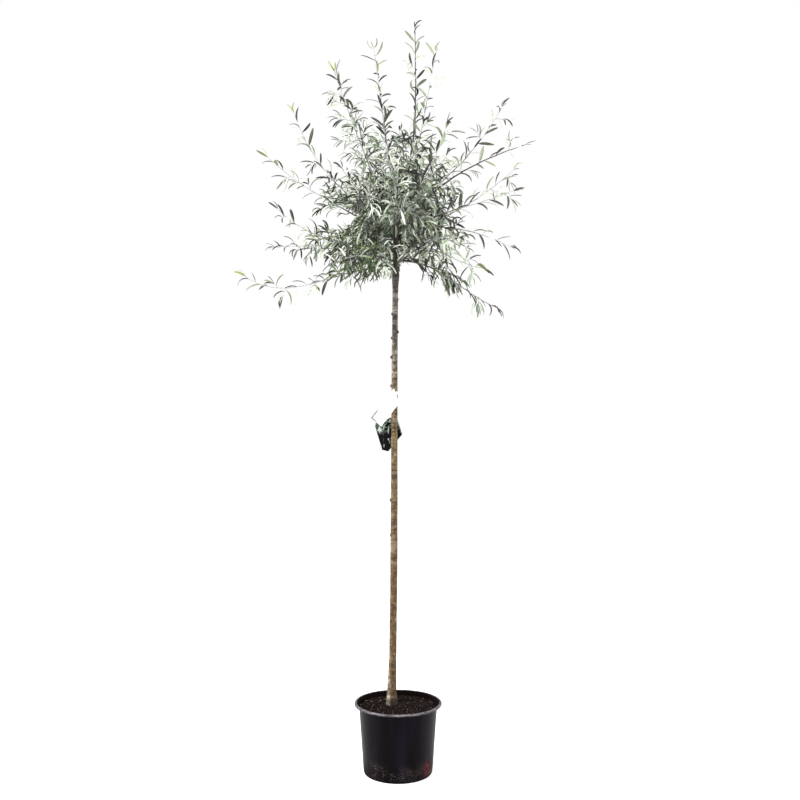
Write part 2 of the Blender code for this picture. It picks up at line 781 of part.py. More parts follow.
def make_tag(material):
    """The plain label: a loop round the trunk, a strip in front and a card behind."""
    centre = trunk_centre(LOOP_HEIGHT)
    outside = make_loop(material) + TAG_THICKNESS + GAP
    make_label(centre, centre[1] - outside - TAG_THICKNESS, material)
    make_card(centre, centre[1] + outside, material)


def clear_scene():
    """Removes what the file opened with."""
    for thing in list(bpy.data.objects):
        bpy.data.objects.remove(thing)


def main():
    """Builds the pot, the compost, the trunk, the boughs and the foliage."""
    clear_scene()
    make_pot(finish_of("pot_plastic", POT_COLOUR, 0.45))
    make_compost(finish_of("compost", COMPOST_COLOUR, 0.95))
    make_trunk(finish_of("trunk_bark", TRUNK_COLOUR, 0.85))
    make_boughs(finish_of("bough_bark", BOUGH_COLOUR, 0.8))
    make_tag(finish_of("label_plastic", LABEL_COLOUR, 0.5))
    leafage = finish_of("foliage", LEAF_COLOUR, 0.65)
    space = Space()
    leaves = 0
    for number, head in enumerate(HEADS):
        mass = Mass(head, space, SEED + number)
        mass.grow()
        mass.fuse(leafage)
        leaves += mass.leaves
    print(leaves, "leaves on", len(HEADS), "boughs")


main()
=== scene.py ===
"""Looks of a potted weeping pear: a grafted standard in a round nursery pot.

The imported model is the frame. The pot, the compost, the bark, the twigs and the leaves are
modelled here in the places of their CAD nodes. Metres, +Z up, and -Y is the front.
"""

import logging
import math
import random
from collections.abc import Callable, Sequence
from dataclasses import dataclass, field
from enum import Enum
from typing import Any, NamedTuple

import bpy
import numpy as np
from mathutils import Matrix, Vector, noise

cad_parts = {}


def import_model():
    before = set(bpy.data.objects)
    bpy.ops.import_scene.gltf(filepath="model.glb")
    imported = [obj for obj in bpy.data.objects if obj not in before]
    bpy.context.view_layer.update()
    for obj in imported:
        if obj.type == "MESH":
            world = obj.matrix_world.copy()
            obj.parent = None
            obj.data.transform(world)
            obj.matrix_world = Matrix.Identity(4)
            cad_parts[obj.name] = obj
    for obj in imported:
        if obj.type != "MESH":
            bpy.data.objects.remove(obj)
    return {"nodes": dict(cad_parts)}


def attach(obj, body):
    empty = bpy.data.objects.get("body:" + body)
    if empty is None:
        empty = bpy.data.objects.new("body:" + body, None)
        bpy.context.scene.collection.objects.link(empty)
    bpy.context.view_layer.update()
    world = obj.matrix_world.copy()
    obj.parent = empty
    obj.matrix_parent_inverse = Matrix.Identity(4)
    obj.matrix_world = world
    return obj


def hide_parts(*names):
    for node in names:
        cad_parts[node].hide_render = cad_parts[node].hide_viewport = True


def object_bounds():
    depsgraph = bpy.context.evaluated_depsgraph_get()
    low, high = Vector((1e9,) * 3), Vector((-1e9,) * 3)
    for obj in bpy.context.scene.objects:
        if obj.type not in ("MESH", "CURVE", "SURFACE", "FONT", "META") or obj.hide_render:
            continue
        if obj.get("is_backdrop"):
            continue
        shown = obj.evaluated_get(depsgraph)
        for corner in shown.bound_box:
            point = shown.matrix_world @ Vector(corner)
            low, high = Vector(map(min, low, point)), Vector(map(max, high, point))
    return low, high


LOG = logging.getLogger("weeping_pear")
UP = np.array((0.0, 0.0, 1.0))
# A direction that no limb runs along, from which the sides of limbs are counted
SKEW = np.array((0.31, 0.17, 0.94))
GOLDEN_ANGLE = 137.5
# The photograph's camera, which is level and looks along +Y
CAMERA = (0.0067, -3.37, 1.24)

Colour = tuple[float, float, float]
Number = "float | Value"


# Shader maths


class Value:
    """A number that varies over a surface. Python's operators add Math nodes to it."""

    def __init__(self, shader: "Shader", socket: bpy.types.NodeSocket) -> None:
        """Wraps a socket of a shader's tree."""
        self.shader = shader
        self.socket = socket

    def __add__(self, other: Number) -> "Value":
        """self + other."""
        return self.shader.math("ADD", self, other)

    __radd__ = __add__

    def __sub__(self, other: Number) -> "Value":
        """self - other."""
        return self.shader.math("SUBTRACT", self, other)

    def __rsub__(self, other: Number) -> "Value":
        """other - self."""
        return self.shader.math("SUBTRACT", other, self)

    def __mul__(self, other: Number) -> "Value":
        """self * other."""
        return self.shader.math("MULTIPLY", self, other)

    __rmul__ = __mul__

    def __truediv__(self, other: Number) -> "Value":
        """self / other."""
        return self.shader.math("DIVIDE", self, other)

    def __pow__(self, other: Number) -> "Value":
        """self ** other."""
        return self.shader.math("POWER", self, other)

    def __abs__(self) -> "Value":
        """The size of self, without its sign."""
        return self.shader.math("ABSOLUTE", self)

    def between(self, low: float, high: float) -> "Value":
        """A smooth step.

        Args:
            low: where the step is 0.
            high: where it is 1. It may be less than low, and then the step goes down.

        Returns:
            The step, from 0 to 1.
        """
        node = self.shader.node(
            "ShaderNodeMapRange",
            {"interpolation_type": "SMOOTHSTEP"},
            {"Value": self, "From Min": low, "From Max": high},
        )
        return Value(self.shader, node.outputs[0])


class Shader:
    """The nodes of one material."""

    def __init__(self, name: str) -> None:
        """Starts a material with this name."""
        self.material = bpy.data.materials.new(name)
        self.material.use_nodes = True
        self.tree = self.material.node_tree
        self.surface = self.tree.nodes["Principled BSDF"]
        self.place = self.node("ShaderNodeTexCoord").outputs["Object"]

    def node(
        self,
        kind: str,
        settings: dict[str, Any] | None = None,
        inputs: dict[str | int, Any] | None = None,
    ) -> bpy.types.Node:
        """Adds a node.

        Args:
            kind: the node's type.
            settings: its properties, set first. A ramp's stops are pairs (place, colour).
            inputs: values or links of its sockets, by name or number.

        Returns:
            The node.
        """
        made = self.tree.nodes.new(kind)
        for name, value in (settings or {}).items():
            if name == "stops":
                self._set_stops(made.color_ramp.elements, value)
            else:
                setattr(made, name, value)
        for key, value in (inputs or {}).items():
            self.feed(made.inputs[key], value)
        return made

    @staticmethod
    def _set_stops(elements: Any, stops: Sequence[tuple[float, Colour]]) -> None:
        """Gives a ramp these stops."""
        while len(elements) < len(stops):
            elements.new(1.0)
        for element, (place, colour) in zip(elements, stops):
            element.position = place
            element.color = (*colour, 1.0)

    def feed(self, socket: bpy.types.NodeSocket, value: Any) -> None:
        """Links or sets a socket."""
        if isinstance(value, Value):
            value = value.socket
        if isinstance(value, bpy.types.NodeSocket):
            self.tree.links.new(value, socket)
        elif socket.type == "RGBA":
            socket.default_value = (*value, 1.0)
        else:
            socket.default_value = value

    def math(self, operation: str, *values: Number) -> Value:
        """A Math node on values."""
        node = self.node("ShaderNodeMath", {"operation": operation}, dict(enumerate(values)))
        return Value(self, node.outputs[0])

    def axes(self, vector: bpy.types.NodeSocket) -> tuple[Value, Value, Value]:
        """The three parts of a vector."""
        parts = self.node("ShaderNodeSeparateXYZ", inputs={0: vector}).outputs
        return Value(self, parts[0]), Value(self, parts[1]), Value(self, parts[2])

    def stretched(self, scale: tuple[float, float, float]) -> bpy.types.NodeSocket:
        """The place on the object, scaled along each axis."""
        return self.node(
            "ShaderNodeMapping", inputs={"Vector": self.place, "Scale": scale}
        ).outputs[0]

    def noise(
        self,
        scale: float,
        detail: float = 3.0,
        roughness: float = 0.55,
        place: bpy.types.NodeSocket | None = None,
    ) -> Value:
        """Cloudy noise.

        Args:
            scale: blobs per metre.
            detail: how many finer layers it has.
            roughness: how strong they are.
            place: where it is read, or the place on the object.

        Returns:
            The noise, about 0.5.
        """
        node = self.node(
            "ShaderNodeTexNoise",
            inputs={
                "Vector": place or self.place,
                "Scale": scale,
                "Detail": detail,
                "Roughness": roughness,
            },
        )
        return Value(self, node.outputs[0])

    def cells(self, scale: float, feature: str = "F1") -> Value:
        """The distance to the middle or the edge of random cells, so many per metre."""
        node = self.node(
            "ShaderNodeTexVoronoi",
            {"feature": feature},
            {"Vector": self.place, "Scale": scale},
        )
        return Value(self, node.outputs["Distance"])

    def near(self, point: tuple[float, float, float], reach: float) -> Value:
        """1 at a point of the object, falling to 0 at a distance from it."""
        node = self.node(
            "ShaderNodeVectorMath", {"operation": "DISTANCE"}, {0: self.place, 1: point}
        )
        return Value(self, node.outputs["Value"]).between(reach, 0.0)

    def mix(self, share: Number, first: Any, second: Any) -> bpy.types.NodeSocket:
        """A colour between two colours."""
        node = self.node(
            "ShaderNodeMix", {"data_type": "RGBA"}, {0: share, 6: first, 7: second}
        )
        return node.outputs[2]

    def ramp(self, value: Value, stops: Sequence[tuple[float, Colour]]) -> bpy.types.NodeSocket:
        """A colour read from a ramp."""
        return self.node("ShaderNodeValToRGB", {"stops": stops}, {0: value}).outputs[0]

    def attribute(self, name: str) -> bpy.types.NodeSocket:
        """A vector that the mesh carries."""
        return self.node("ShaderNodeAttribute", {"attribute_name": name}).outputs["Vector"]

    def bump(self, height: Value, distance: float, strength: float = 1.0) -> None:
        """Bumps the surface by a height, so many metres from 0 to 1."""
        node = self.node(
            "ShaderNodeBump",
            inputs={"Height": height, "Distance": distance, "Strength": strength},
        )
        self.feed(self.surface.inputs["Normal"], node.outputs[0])

    def finish(self, colour: Any, roughness: Number, **constants: float) -> bpy.types.Material:
        """Sets the surface.

        Args:
            colour: the base colour.
            roughness: its roughness.
            constants: other sockets, by name with _ for each space.

        Returns:
            The material.
        """
        self.feed(self.surface.inputs["Base Color"], colour)
        self.feed(self.surface.inputs["Roughness"], roughness)
        for name, value in constants.items():
            self.surface.inputs[name.replace("_", " ")].default_value = value
        return self.material


# Finishes


@dataclass(frozen=True)
class PotPlastic:
    """Black recycled plastic: satin, a little uneven, dusty at the foot, paler on the rim's top
    partly from wear and partly as a painted highlight, and darkened inside as painted shade.
    """

    deep: Colour = (0.0008, 0.0003, 0.0006)
    veil: Colour = (0.0056, 0.0030, 0.0074)
    rim_wear_and_sheen: Colour = (0.330, 0.300, 0.320)
    dust: Colour = (0.34, 0.28, 0.23)
    smear: Colour = (0.095, 0.010, 0.010)
    smear_at: tuple[float, float, float] = (0.094, -0.062, 0.036)
    rim_height: float = 0.2270
    inner_shade: Colour = (0.0030, 0.0018, 0.0015)

    def material(self) -> bpy.types.Material:
        """Makes the material. The mesh's "soiled" is 1 on the inner wall and 0 outside."""
        shader = Shader("pot_black_plastic")
        x, _, height = shader.axes(shader.place)
        streaks = shader.noise(16, 4, 0.6, shader.stretched((1.0, 1.0, 0.12)))
        grain = shader.noise(900, 2)
        colour = shader.mix(streaks.between(0.35, 0.75), self.deep, self.veil)
        scuffs = shader.noise(60, 5, 0.7, shader.stretched((1.0, 1.0, 2.5)))
        # Painted highlight: the rim's top is paled where the roll catches the light, partly as real
        # scuffed wear.
        rim = height.between(self.rim_height - 0.002, self.rim_height + 0.005)
        rim_wear_and_sheen = rim * scuffs.between(0.25, 0.75)
        colour = shader.mix(rim_wear_and_sheen * 0.7, colour, self.rim_wear_and_sheen)
        foot = height.between(0.075, 0.004)
        specks = shader.cells(240).between(0.36, 0.12) * shader.noise(24, 3).between(0.42, 0.60)
        left = x.between(0.06, -0.08) * 0.8 + 0.2
        colour = shader.mix(specks * foot * left, colour, self.dust)
        haze = shader.noise(11, 5, 0.65).between(0.50, 0.85)
        colour = shader.mix(haze * foot * 0.22, colour, self.dust)
        smear = shader.near(self.smear_at, 0.045) * shader.noise(75, 5, 0.7).between(0.47, 0.60)
        colour = shader.mix(smear, colour, self.smear)
        # Painted shade: the inner wall and the inside of the lip are darkened to near black.
        inside, _, _ = shader.axes(shader.attribute("darkened"))
        colour = shader.mix(inside, colour, self.inner_shade)
        shader.bump(grain * 0.3 + streaks + scuffs * 0.6, 0.0005, 0.35)
        roughness = 0.30 + streaks * 0.18 + foot * 0.30 + rim_wear_and_sheen * 0.1 + inside * 0.6
        return shader.finish(colour, roughness, Specular_IOR_Level=0.045)


@dataclass(frozen=True)
class DampCompost:
    """Dark crumbly compost with bark fibre in it."""

    dark: Colour = (0.0022, 0.0012, 0.0009)
    brown: Colour = (0.011, 0.0054, 0.0040)
    fibre: Colour = (0.090, 0.050, 0.030)

    def material(self) -> bpy.types.Material:
        """Makes the material."""
        shader = Shader("damp_compost")
        lumps = shader.noise(140, 6, 0.7)
        crumbs = shader.cells(430)
        colour = shader.mix(lumps.between(0.38, 0.68), self.dark, self.brown)
        flecks = crumbs.between(0.34, 0.12) * shader.noise(90, 3).between(0.52, 0.66)
        colour = shader.mix(flecks * 0.8, colour, self.fibre)
        shader.bump(lumps + crumbs * 0.5, 0.0022, 0.9)
        return shader.finish(colour, 0.96 - lumps * 0.2, Specular_IOR_Level=0.10)


@dataclass(frozen=True)
class Crumb:
    """One kind of crumb in the compost."""

    name: str
    low: Colour
    high: Colour

    def material(self) -> bpy.types.Material:
        """Makes the material."""
        shader = Shader(self.name)
        tone = shader.noise(260, 4, 0.7)
        colour = shader.mix(tone.between(0.35, 0.7), self.low, self.high)
        shader.bump(shader.noise(1400, 3), 0.0005, 0.6)
        return shader.finish(colour, 0.93, Specular_IOR_Level=0.12)


@dataclass(frozen=True)
class TrunkBark:
    """Young bark: brown below, olive in the middle and grey-brown above, nearly black in
    the crown, with dark rings of pores, and pale flakes that are thickest at the foot. The
    thick pale flakes at the foot lie only on the lit left side, as painted light, and just
    above the compost the bark is darker."""

    brown: Colour = (0.120, 0.066, 0.024)
    olive: Colour = (0.150, 0.104, 0.040)
    grey: Colour = (0.138, 0.122, 0.105)
    dark: Colour = (0.018, 0.014, 0.011)
    pale: Colour = (0.46, 0.41, 0.345)
    pore: Colour = (0.014, 0.010, 0.007)

    def material(self) -> bpy.types.Material:
        """Makes the material. The mesh's "scar" is 1 on a stub and 0 away from it."""
        shader = Shader("trunk_bark")
        x, _, height = shader.axes(shader.place)
        patches = shader.noise(30, 5, 0.65, shader.stretched((1.0, 1.0, 0.6)))
        level = height + (patches - 0.5) * 0.35
        colour = shader.mix(level.between(0.60, 0.98), self.brown, self.olive)
        colour = shader.mix(level.between(1.18, 1.46), colour, self.grey)
        colour = shader.mix(level.between(1.60, 1.74), colour, self.dark)
        mottle = shader.noise(150, 4, 0.7, shader.stretched((1.0, 1.0, 0.5)))
        colour = shader.mix(mottle.between(0.54, 0.38) * 0.75, colour, self.dark)
        bands = shader.noise(44, 4, 0.65, shader.stretched((0.5, 0.5, 1.0)))
        strong = height.between(0.95, 1.30) * 0.35 + 0.35
        colour = shader.mix(bands.between(0.54, 0.64) * strong, colour, self.dark)
        colour = shader.mix(bands.between(0.46, 0.36) * strong * 0.6, colour, self.pale)
        flakes = shader.noise(95, 6, 0.75, shader.stretched((1.0, 1.0, 0.8)))
        foot = (height + (patches - 0.5) * 0.30).between(0.50, 0.26)
        # Painted light: the left side, which the lamps light, gets pale flakes at the foot and a few
        # more flakes higher up.
        lit = x.between(-0.019, -0.030)
        crown = height.between(1.60, 1.72)
        upper = height.between(1.24, 1.36) * 0.035 - crown * 0.155
        lit_pale_flakes = lit * foot * flakes.between(0.38, 0.62)
        colour = shader.mix(lit_pale_flakes * 0.8, colour, self.pale)
        flaky = (flakes + lit * 0.03 + upper).between(0.56, 0.68)
        colour = shader.mix(flaky * 0.45, colour, self.pale)
        rings = shader.noise(62, 4, 0.65, shader.stretched((0.30, 0.30, 2.4)))
        cracks = shader.noise(130, 4, 0.75, shader.stretched((1.0, 1.0, 0.30)))
        pores = rings.between(0.52, 0.63) * mottle.between(0.30, 0.55)
        colour = shader.mix(pores * (level.between(0.45, 0.90) * 0.4 + 0.25), colour, self.pore)
        colour = shader.mix(cracks.between(0.58, 0.68) * foot, colour, self.pore)
        scar, _, _ = shader.axes(shader.attribute("scar"))
        colour = shader.mix(scar.between(0.25, 0.85) * 0.8, colour, self.pore)
        # Darker just above the compost, and a little less so on the lit left side.
        darkened = (height + (mottle - 0.5) * 0.02).between(0.256, 0.232) * (1 - lit * 0.3)
        colour = shader.mix(darkened * 0.9, colour, self.pore)
        fine = shader.noise(700, 3, 0.6, shader.stretched((1.0, 1.0, 0.3)))
        shader.bump(flakes + rings.between(0.66, 0.50) * 0.9 + fine * 0.35, 0.0020, 1.0)
        return shader.finish(colour, 0.88 - flakes * 0.25, Specular_IOR_Level=0.22)


@dataclass(frozen=True)
class ShootBark:
    """Bark of boughs and shoots: nearly black where they leave the trunk, and paler with
    down further out."""

    name: str
    downy: Colour
    old: Colour = (0.018, 0.014, 0.011)
    mid: Colour = (0.085, 0.072, 0.064)
    hub: tuple[float, float, float] = (-0.005, 0.0, 1.80)

    def material(self) -> bpy.types.Material:
        """Makes the material."""
        shader = Shader(self.name)
        away = 1 - shader.near(self.hub, 0.46)
        mottle = shader.noise(190, 5, 0.65)
        age = away + (mottle - 0.5) * 0.30
        mid = tuple(min(pair) for pair in zip(self.mid, self.downy))
        stops = ((0.04, self.old), (0.30, mid), (0.66, self.downy))
        colour = shader.ramp(age, stops)
        bands = shader.noise(240, 4, 0.7, shader.stretched((0.6, 0.6, 2.2)))
        colour = shader.mix(bands.between(0.58, 0.70) * 0.7, colour, self.old)
        shader.bump(bands + mottle, 0.0008, 0.8)
        return shader.finish(colour, 0.86 - mottle * 0.12, Specular_IOR_Level=0.3)


class Tint(Enum):
    """The greens of a spray: the colour of its leaves above, and of their felt beneath.
    SHADE is painted shade, a darkened copy of the leaves, and SILVER is the felt's own
    silver made paler, partly as painted light.
    """

    SILVER = ("leaf_silver", (0.375, 0.450, 0.320), (0.640, 0.690, 0.590))
    SAGE = ("leaf_sage", (0.110, 0.148, 0.080), (0.275, 0.320, 0.230))
    OLIVE = ("leaf_olive", (0.105, 0.130, 0.048), (0.250, 0.285, 0.165))
    GREEN = ("leaf_green", (0.032, 0.060, 0.011), (0.085, 0.125, 0.045))
    SHADE = ("leaf_shade", (0.018, 0.021, 0.013), (0.056, 0.062, 0.048))
    YOUNG = ("leaf_young", (0.190, 0.225, 0.040), (0.290, 0.330, 0.105))


@dataclass(frozen=True)
class LeafFinish:
    """A felted leaf: its upper side, its paler underside, a light midrib and a dry tip."""

    tint: Tint
    rib_light: float = 0.35
    dry: Colour = (0.10, 0.07, 0.035)

    def material(self) -> bpy.types.Material:
        """Makes the material. The mesh's "blade" gives the place on a leaf: how far along
        it is, 1 at the midrib above and -1 beneath, and a number of the leaf's own."""
        name, above, beneath = self.tint.value
        shader = Shader(name)
        along, side, chance = shader.axes(shader.attribute("blade"))
        colour = shader.mix(side.between(0.02, -0.02), above, beneath)
        colour = shader.mix((chance - 0.5).between(0.0, 0.9) * 0.55, colour, beneath)
        dark = tuple(part * 0.22 for part in above)
        colour = shader.mix(chance.between(0.46, 0.22) * 0.88, colour, dark)
        rib = abs(side).between(0.80, 0.97)
        colour = shader.mix(rib * self.rib_light, colour, beneath)
        felt = shader.noise(420, 4, 0.7)
        colour = shader.mix(felt.between(0.55, 0.8) * 0.35, colour, beneath)
        colour = shader.mix(along.between(0.90, 1.0) * 0.5, colour, self.dry)
        shader.bump(felt + abs(side).between(0.0, 0.9) * 0.5, 0.0006, 0.6)
        return shader.finish(colour, 0.72 - felt * 0.18, Specular_IOR_Level=0.35)


@dataclass(frozen=True)
class LabelPlastic:
    """Plain white label plastic, faintly creased, with a grey line of painted shade along the
    strip's low corner, where its edge is shaded. The strip slants down from the loop."""

    white: Colour = (0.86, 0.87, 0.87)
    grey: Colour = (0.62, 0.64, 0.65)
    line: Colour = (0.17, 0.17, 0.18)
    line_width: float = 0.0060
    loop: tuple[float, float] = (-0.0117, 1.263)
    slant: float = 52.0
    length: float = 0.1135
    rise: float = 0.0105

    def material(self) -> bpy.types.Material:
        """Makes the material."""
        shader = Shader("label_white_plastic")
        creases = shader.noise(38, 4, 0.6)
        colour = shader.mix(creases.between(0.58, 0.8) * 0.5, self.white, self.grey)
        x, _, z = shader.axes(shader.place)
        across, up = x - self.loop[0], z - self.loop[1]
        turned = math.radians(self.slant)
        along = across * math.cos(turned) + up * math.sin(turned)
        over = up * math.cos(turned) - across * math.sin(turned)
        width = self.line_width
        end = along.between(width - self.length, 0.6 * width - self.length)
        side = over.between(self.rise - width, self.rise - 0.6 * width)
        # Painted shade: the grey line along the strip's edge and round its end stands for the shaded
        # edge.
        line = self.line
        colour = shader.mix(side * along.between(-0.058, -0.088), colour, line)
        colour = shader.mix(end * over.between(-0.030, 0.0), colour, line)
        shader.bump(creases + shader.noise(700, 2) * 0.06, 0.0016, 0.5)
        return shader.finish(colour, 0.34 + creases * 0.2)


@dataclass(frozen=True)
class CardPrint:
    """A weathered card with a plain mottled pattern of greens on pale grey."""

    pale: Colour = (0.46, 0.52, 0.50)
    green: Colour = (0.050, 0.070, 0.040)
    dark: Colour = (0.0035, 0.0030, 0.0040)
    middle: float = 1.131

    def material(self) -> bpy.types.Material:
        """Makes the material."""
        shader = Shader("label_card")
        x, _, height = shader.axes(shader.place)
        blotches = shader.noise(75, 3, 0.5)
        leafy = shader.noise(150, 4, 0.6, shader.stretched((1.0, 1.0, 0.40)))
        colour = shader.mix(leafy.between(0.44, 0.56), self.pale, self.green)
        streaks = shader.noise(110, 2, 0.5, shader.stretched((1.0, 1.0, 0.22)))
        level = height + (blotches - 0.5) * 0.06 - x.between(-0.035, -0.015) * 0.02
        low = level.between(self.middle + 0.004, self.middle - 0.008)
        colour = shader.mix(low * streaks.between(0.66, 0.56), colour, self.dark)
        colour = shader.mix(blotches.between(0.53, 0.58), colour, self.dark)
        shader.bump(shader.noise(300, 3), 0.0003, 0.4)
        return shader.finish(colour, 0.70 + leafy * 0.15, Specular_IOR_Level=0.06)


@dataclass(frozen=True)
class StudioFloor:
    """A plain pale floor, lit a little from beneath as a light table is."""

    tone: Colour = (0.80, 0.80, 0.80)
    glow: float = 0.55

    def material(self) -> bpy.types.Material:
        """Makes the material."""
        shader = Shader("studio_floor")
        shader.surface.inputs["Emission Color"].default_value = (1.0, 1.0, 1.0, 1.0)
        return shader.finish(self.tone, 0.9, Emission_Strength=self.glow)


# Modelling


def deselect() -> None:
    """Leaves no object selected."""
    for thing in bpy.context.selected_objects:
        thing.select_set(False)


def activate(piece: bpy.types.Object) -> None:
    """Makes a piece the only one selected, and active."""
    deselect()
    piece.select_set(True)
    bpy.context.view_layer.objects.active = piece


def choose(piece: bpy.types.Object, test: Callable[[Vector], bool]) -> None:
    """Selects the vertices whose places pass a test, in edit mode, and nothing else."""
    bpy.ops.object.mode_set(mode="OBJECT")
    mesh = piece.data
    mesh.polygons.foreach_set("select", [False] * len(mesh.polygons))
    mesh.edges.foreach_set("select", [False] * len(mesh.edges))
    for vertex in mesh.vertices:
        vertex.select = test(vertex.co)
    bpy.ops.object.mode_set(mode="EDIT")


def places_of(piece: bpy.types.Object) -> np.ndarray:
    """The places of a mesh's vertices."""
    flat = np.empty(3 * len(piece.data.vertices), np.float32)
    piece.data.vertices.foreach_get("co", flat)
    return flat.reshape(-1, 3).astype(float)


def set_places(piece: bpy.types.Object, places: np.ndarray) -> None:
    """Moves a mesh's vertices."""
    piece.data.vertices.foreach_set("co", places.astype(np.float32).ravel())
    piece.data.update()


def apply_modifier(piece: bpy.types.Object, kind: str, **settings: Any) -> None:
    """Adds a modifier with these settings and applies it."""
    activate(piece)
    modifier = piece.modifiers.new(kind.lower(), kind)
    for name, value in settings.items():
        setattr(modifier, name, value)
    bpy.ops.object.modifier_apply(modifier=modifier.name)


def finish_piece(
    piece: bpy.types.Object, name: str, material: bpy.types.Material, angle: float
) -> bpy.types.Object:
    """Names, dresses and hangs a piece on the frame.

    Args:
        piece: the piece, whose place is in its mesh.
        name: its name.
        material: its finish.
        angle: edges sharper than this many degrees stay sharp.

    Returns:
        The piece.
    """
    activate(piece)
    bpy.ops.object.transform_apply(location=True, rotation=True, scale=True)
    bpy.ops.object.shade_smooth_by_angle(angle=math.radians(angle))
    piece.name = name
    piece.data.name = name
    piece.data.materials.clear()
    piece.data.materials.append(material)
    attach(piece, "root")
    LOG.info("%s: %d faces", name, len(piece.data.polygons))
    return piece


def turn(profile: Sequence[tuple[float, float]], sides: int) -> bpy.types.Object:
    """Turns a section about the upright axis, by extruding a ring from point to point.

    Args:
        profile: (radius, height) points, which start and end at a small ring that is
            closed to a pole.
        sides: how many sides the ring has.

    Returns:
        The closed solid.
    """
    deselect()
    radius, height = profile[0]
    bpy.ops.mesh.primitive_circle_add(
        vertices=sides, radius=radius, fill_type="NGON", location=(0, 0, 0)
    )
    piece = bpy.context.object
    set_places(piece, places_of(piece) + UP * height)
    bpy.ops.object.mode_set(mode="EDIT")
    bpy.context.tool_settings.mesh_select_mode = (True, False, False)
    bpy.ops.mesh.select_all(action="SELECT")
    bpy.ops.mesh.delete(type="ONLY_FACE")
    bpy.ops.mesh.select_all(action="SELECT")
    for (radius, height), (wider, higher) in zip(profile, profile[1:]):
        bpy.ops.mesh.extrude_region_move(
            TRANSFORM_OT_translate={"value": (0.0, 0.0, higher - height)}
        )
        bpy.ops.transform.resize(
            value=(wider / radius, wider / radius, 1.0), center_override=(0.0, 0.0, 0.0)
        )
    bpy.ops.mesh.merge(type="CENTER")
    start = profile[0]
    choose(piece, lambda co: abs(co.z - start[1]) < 1e-6 and co.xy.length < start[0] * 1.01)
    bpy.ops.mesh.merge(type="CENTER")
    bpy.ops.mesh.select_all(action="SELECT")
    bpy.ops.mesh.normals_make_consistent(inside=False)
    bpy.ops.object.mode_set(mode="OBJECT")
    return piece


def copies_of(
    blank: bpy.types.Object, name: str, places: np.ndarray
) -> bpy.types.Object:
    """A mesh of many copies of a blank.

    Args:
        blank: what is copied.
        name: the new piece's name.
        places: where each copy has the blank's vertices, (copies, vertices, 3).

    Returns:
        The new piece.
    """
    count, size = places.shape[:2]
    corners = [tuple(polygon.vertices) for polygon in blank.data.polygons]
    faces = [
        tuple(corner + size * copy for corner in face) for copy in range(count) for face in corners
    ]
    mesh = bpy.data.meshes.new(name)
    mesh.from_pydata(places.reshape(-1, 3), [], faces)
    piece = bpy.data.objects.new(name, mesh)
    bpy.context.scene.collection.objects.link(piece)
    return piece


def rumple(piece: bpy.types.Object, size: float, scale: float, octaves: int) -> None:
    """Moves a mesh's vertices along their normals by smooth noise.

    Args:
        piece: the piece.
        size: how far, at most, in metres.
        scale: the noise's blobs per metre.
        octaves: how many finer layers it has.
    """
    normals = np.empty(3 * len(piece.data.vertices), np.float32)
    piece.data.vertices.foreach_get("normal", normals)
    places = places_of(piece)
    heights = [noise.fractal(Vector(p) * scale, 1.0, 2.0, octaves) for p in places]
    set_places(piece, places + normals.reshape(-1, 3) * size * np.array(heights)[:, None])


# Pot and compost


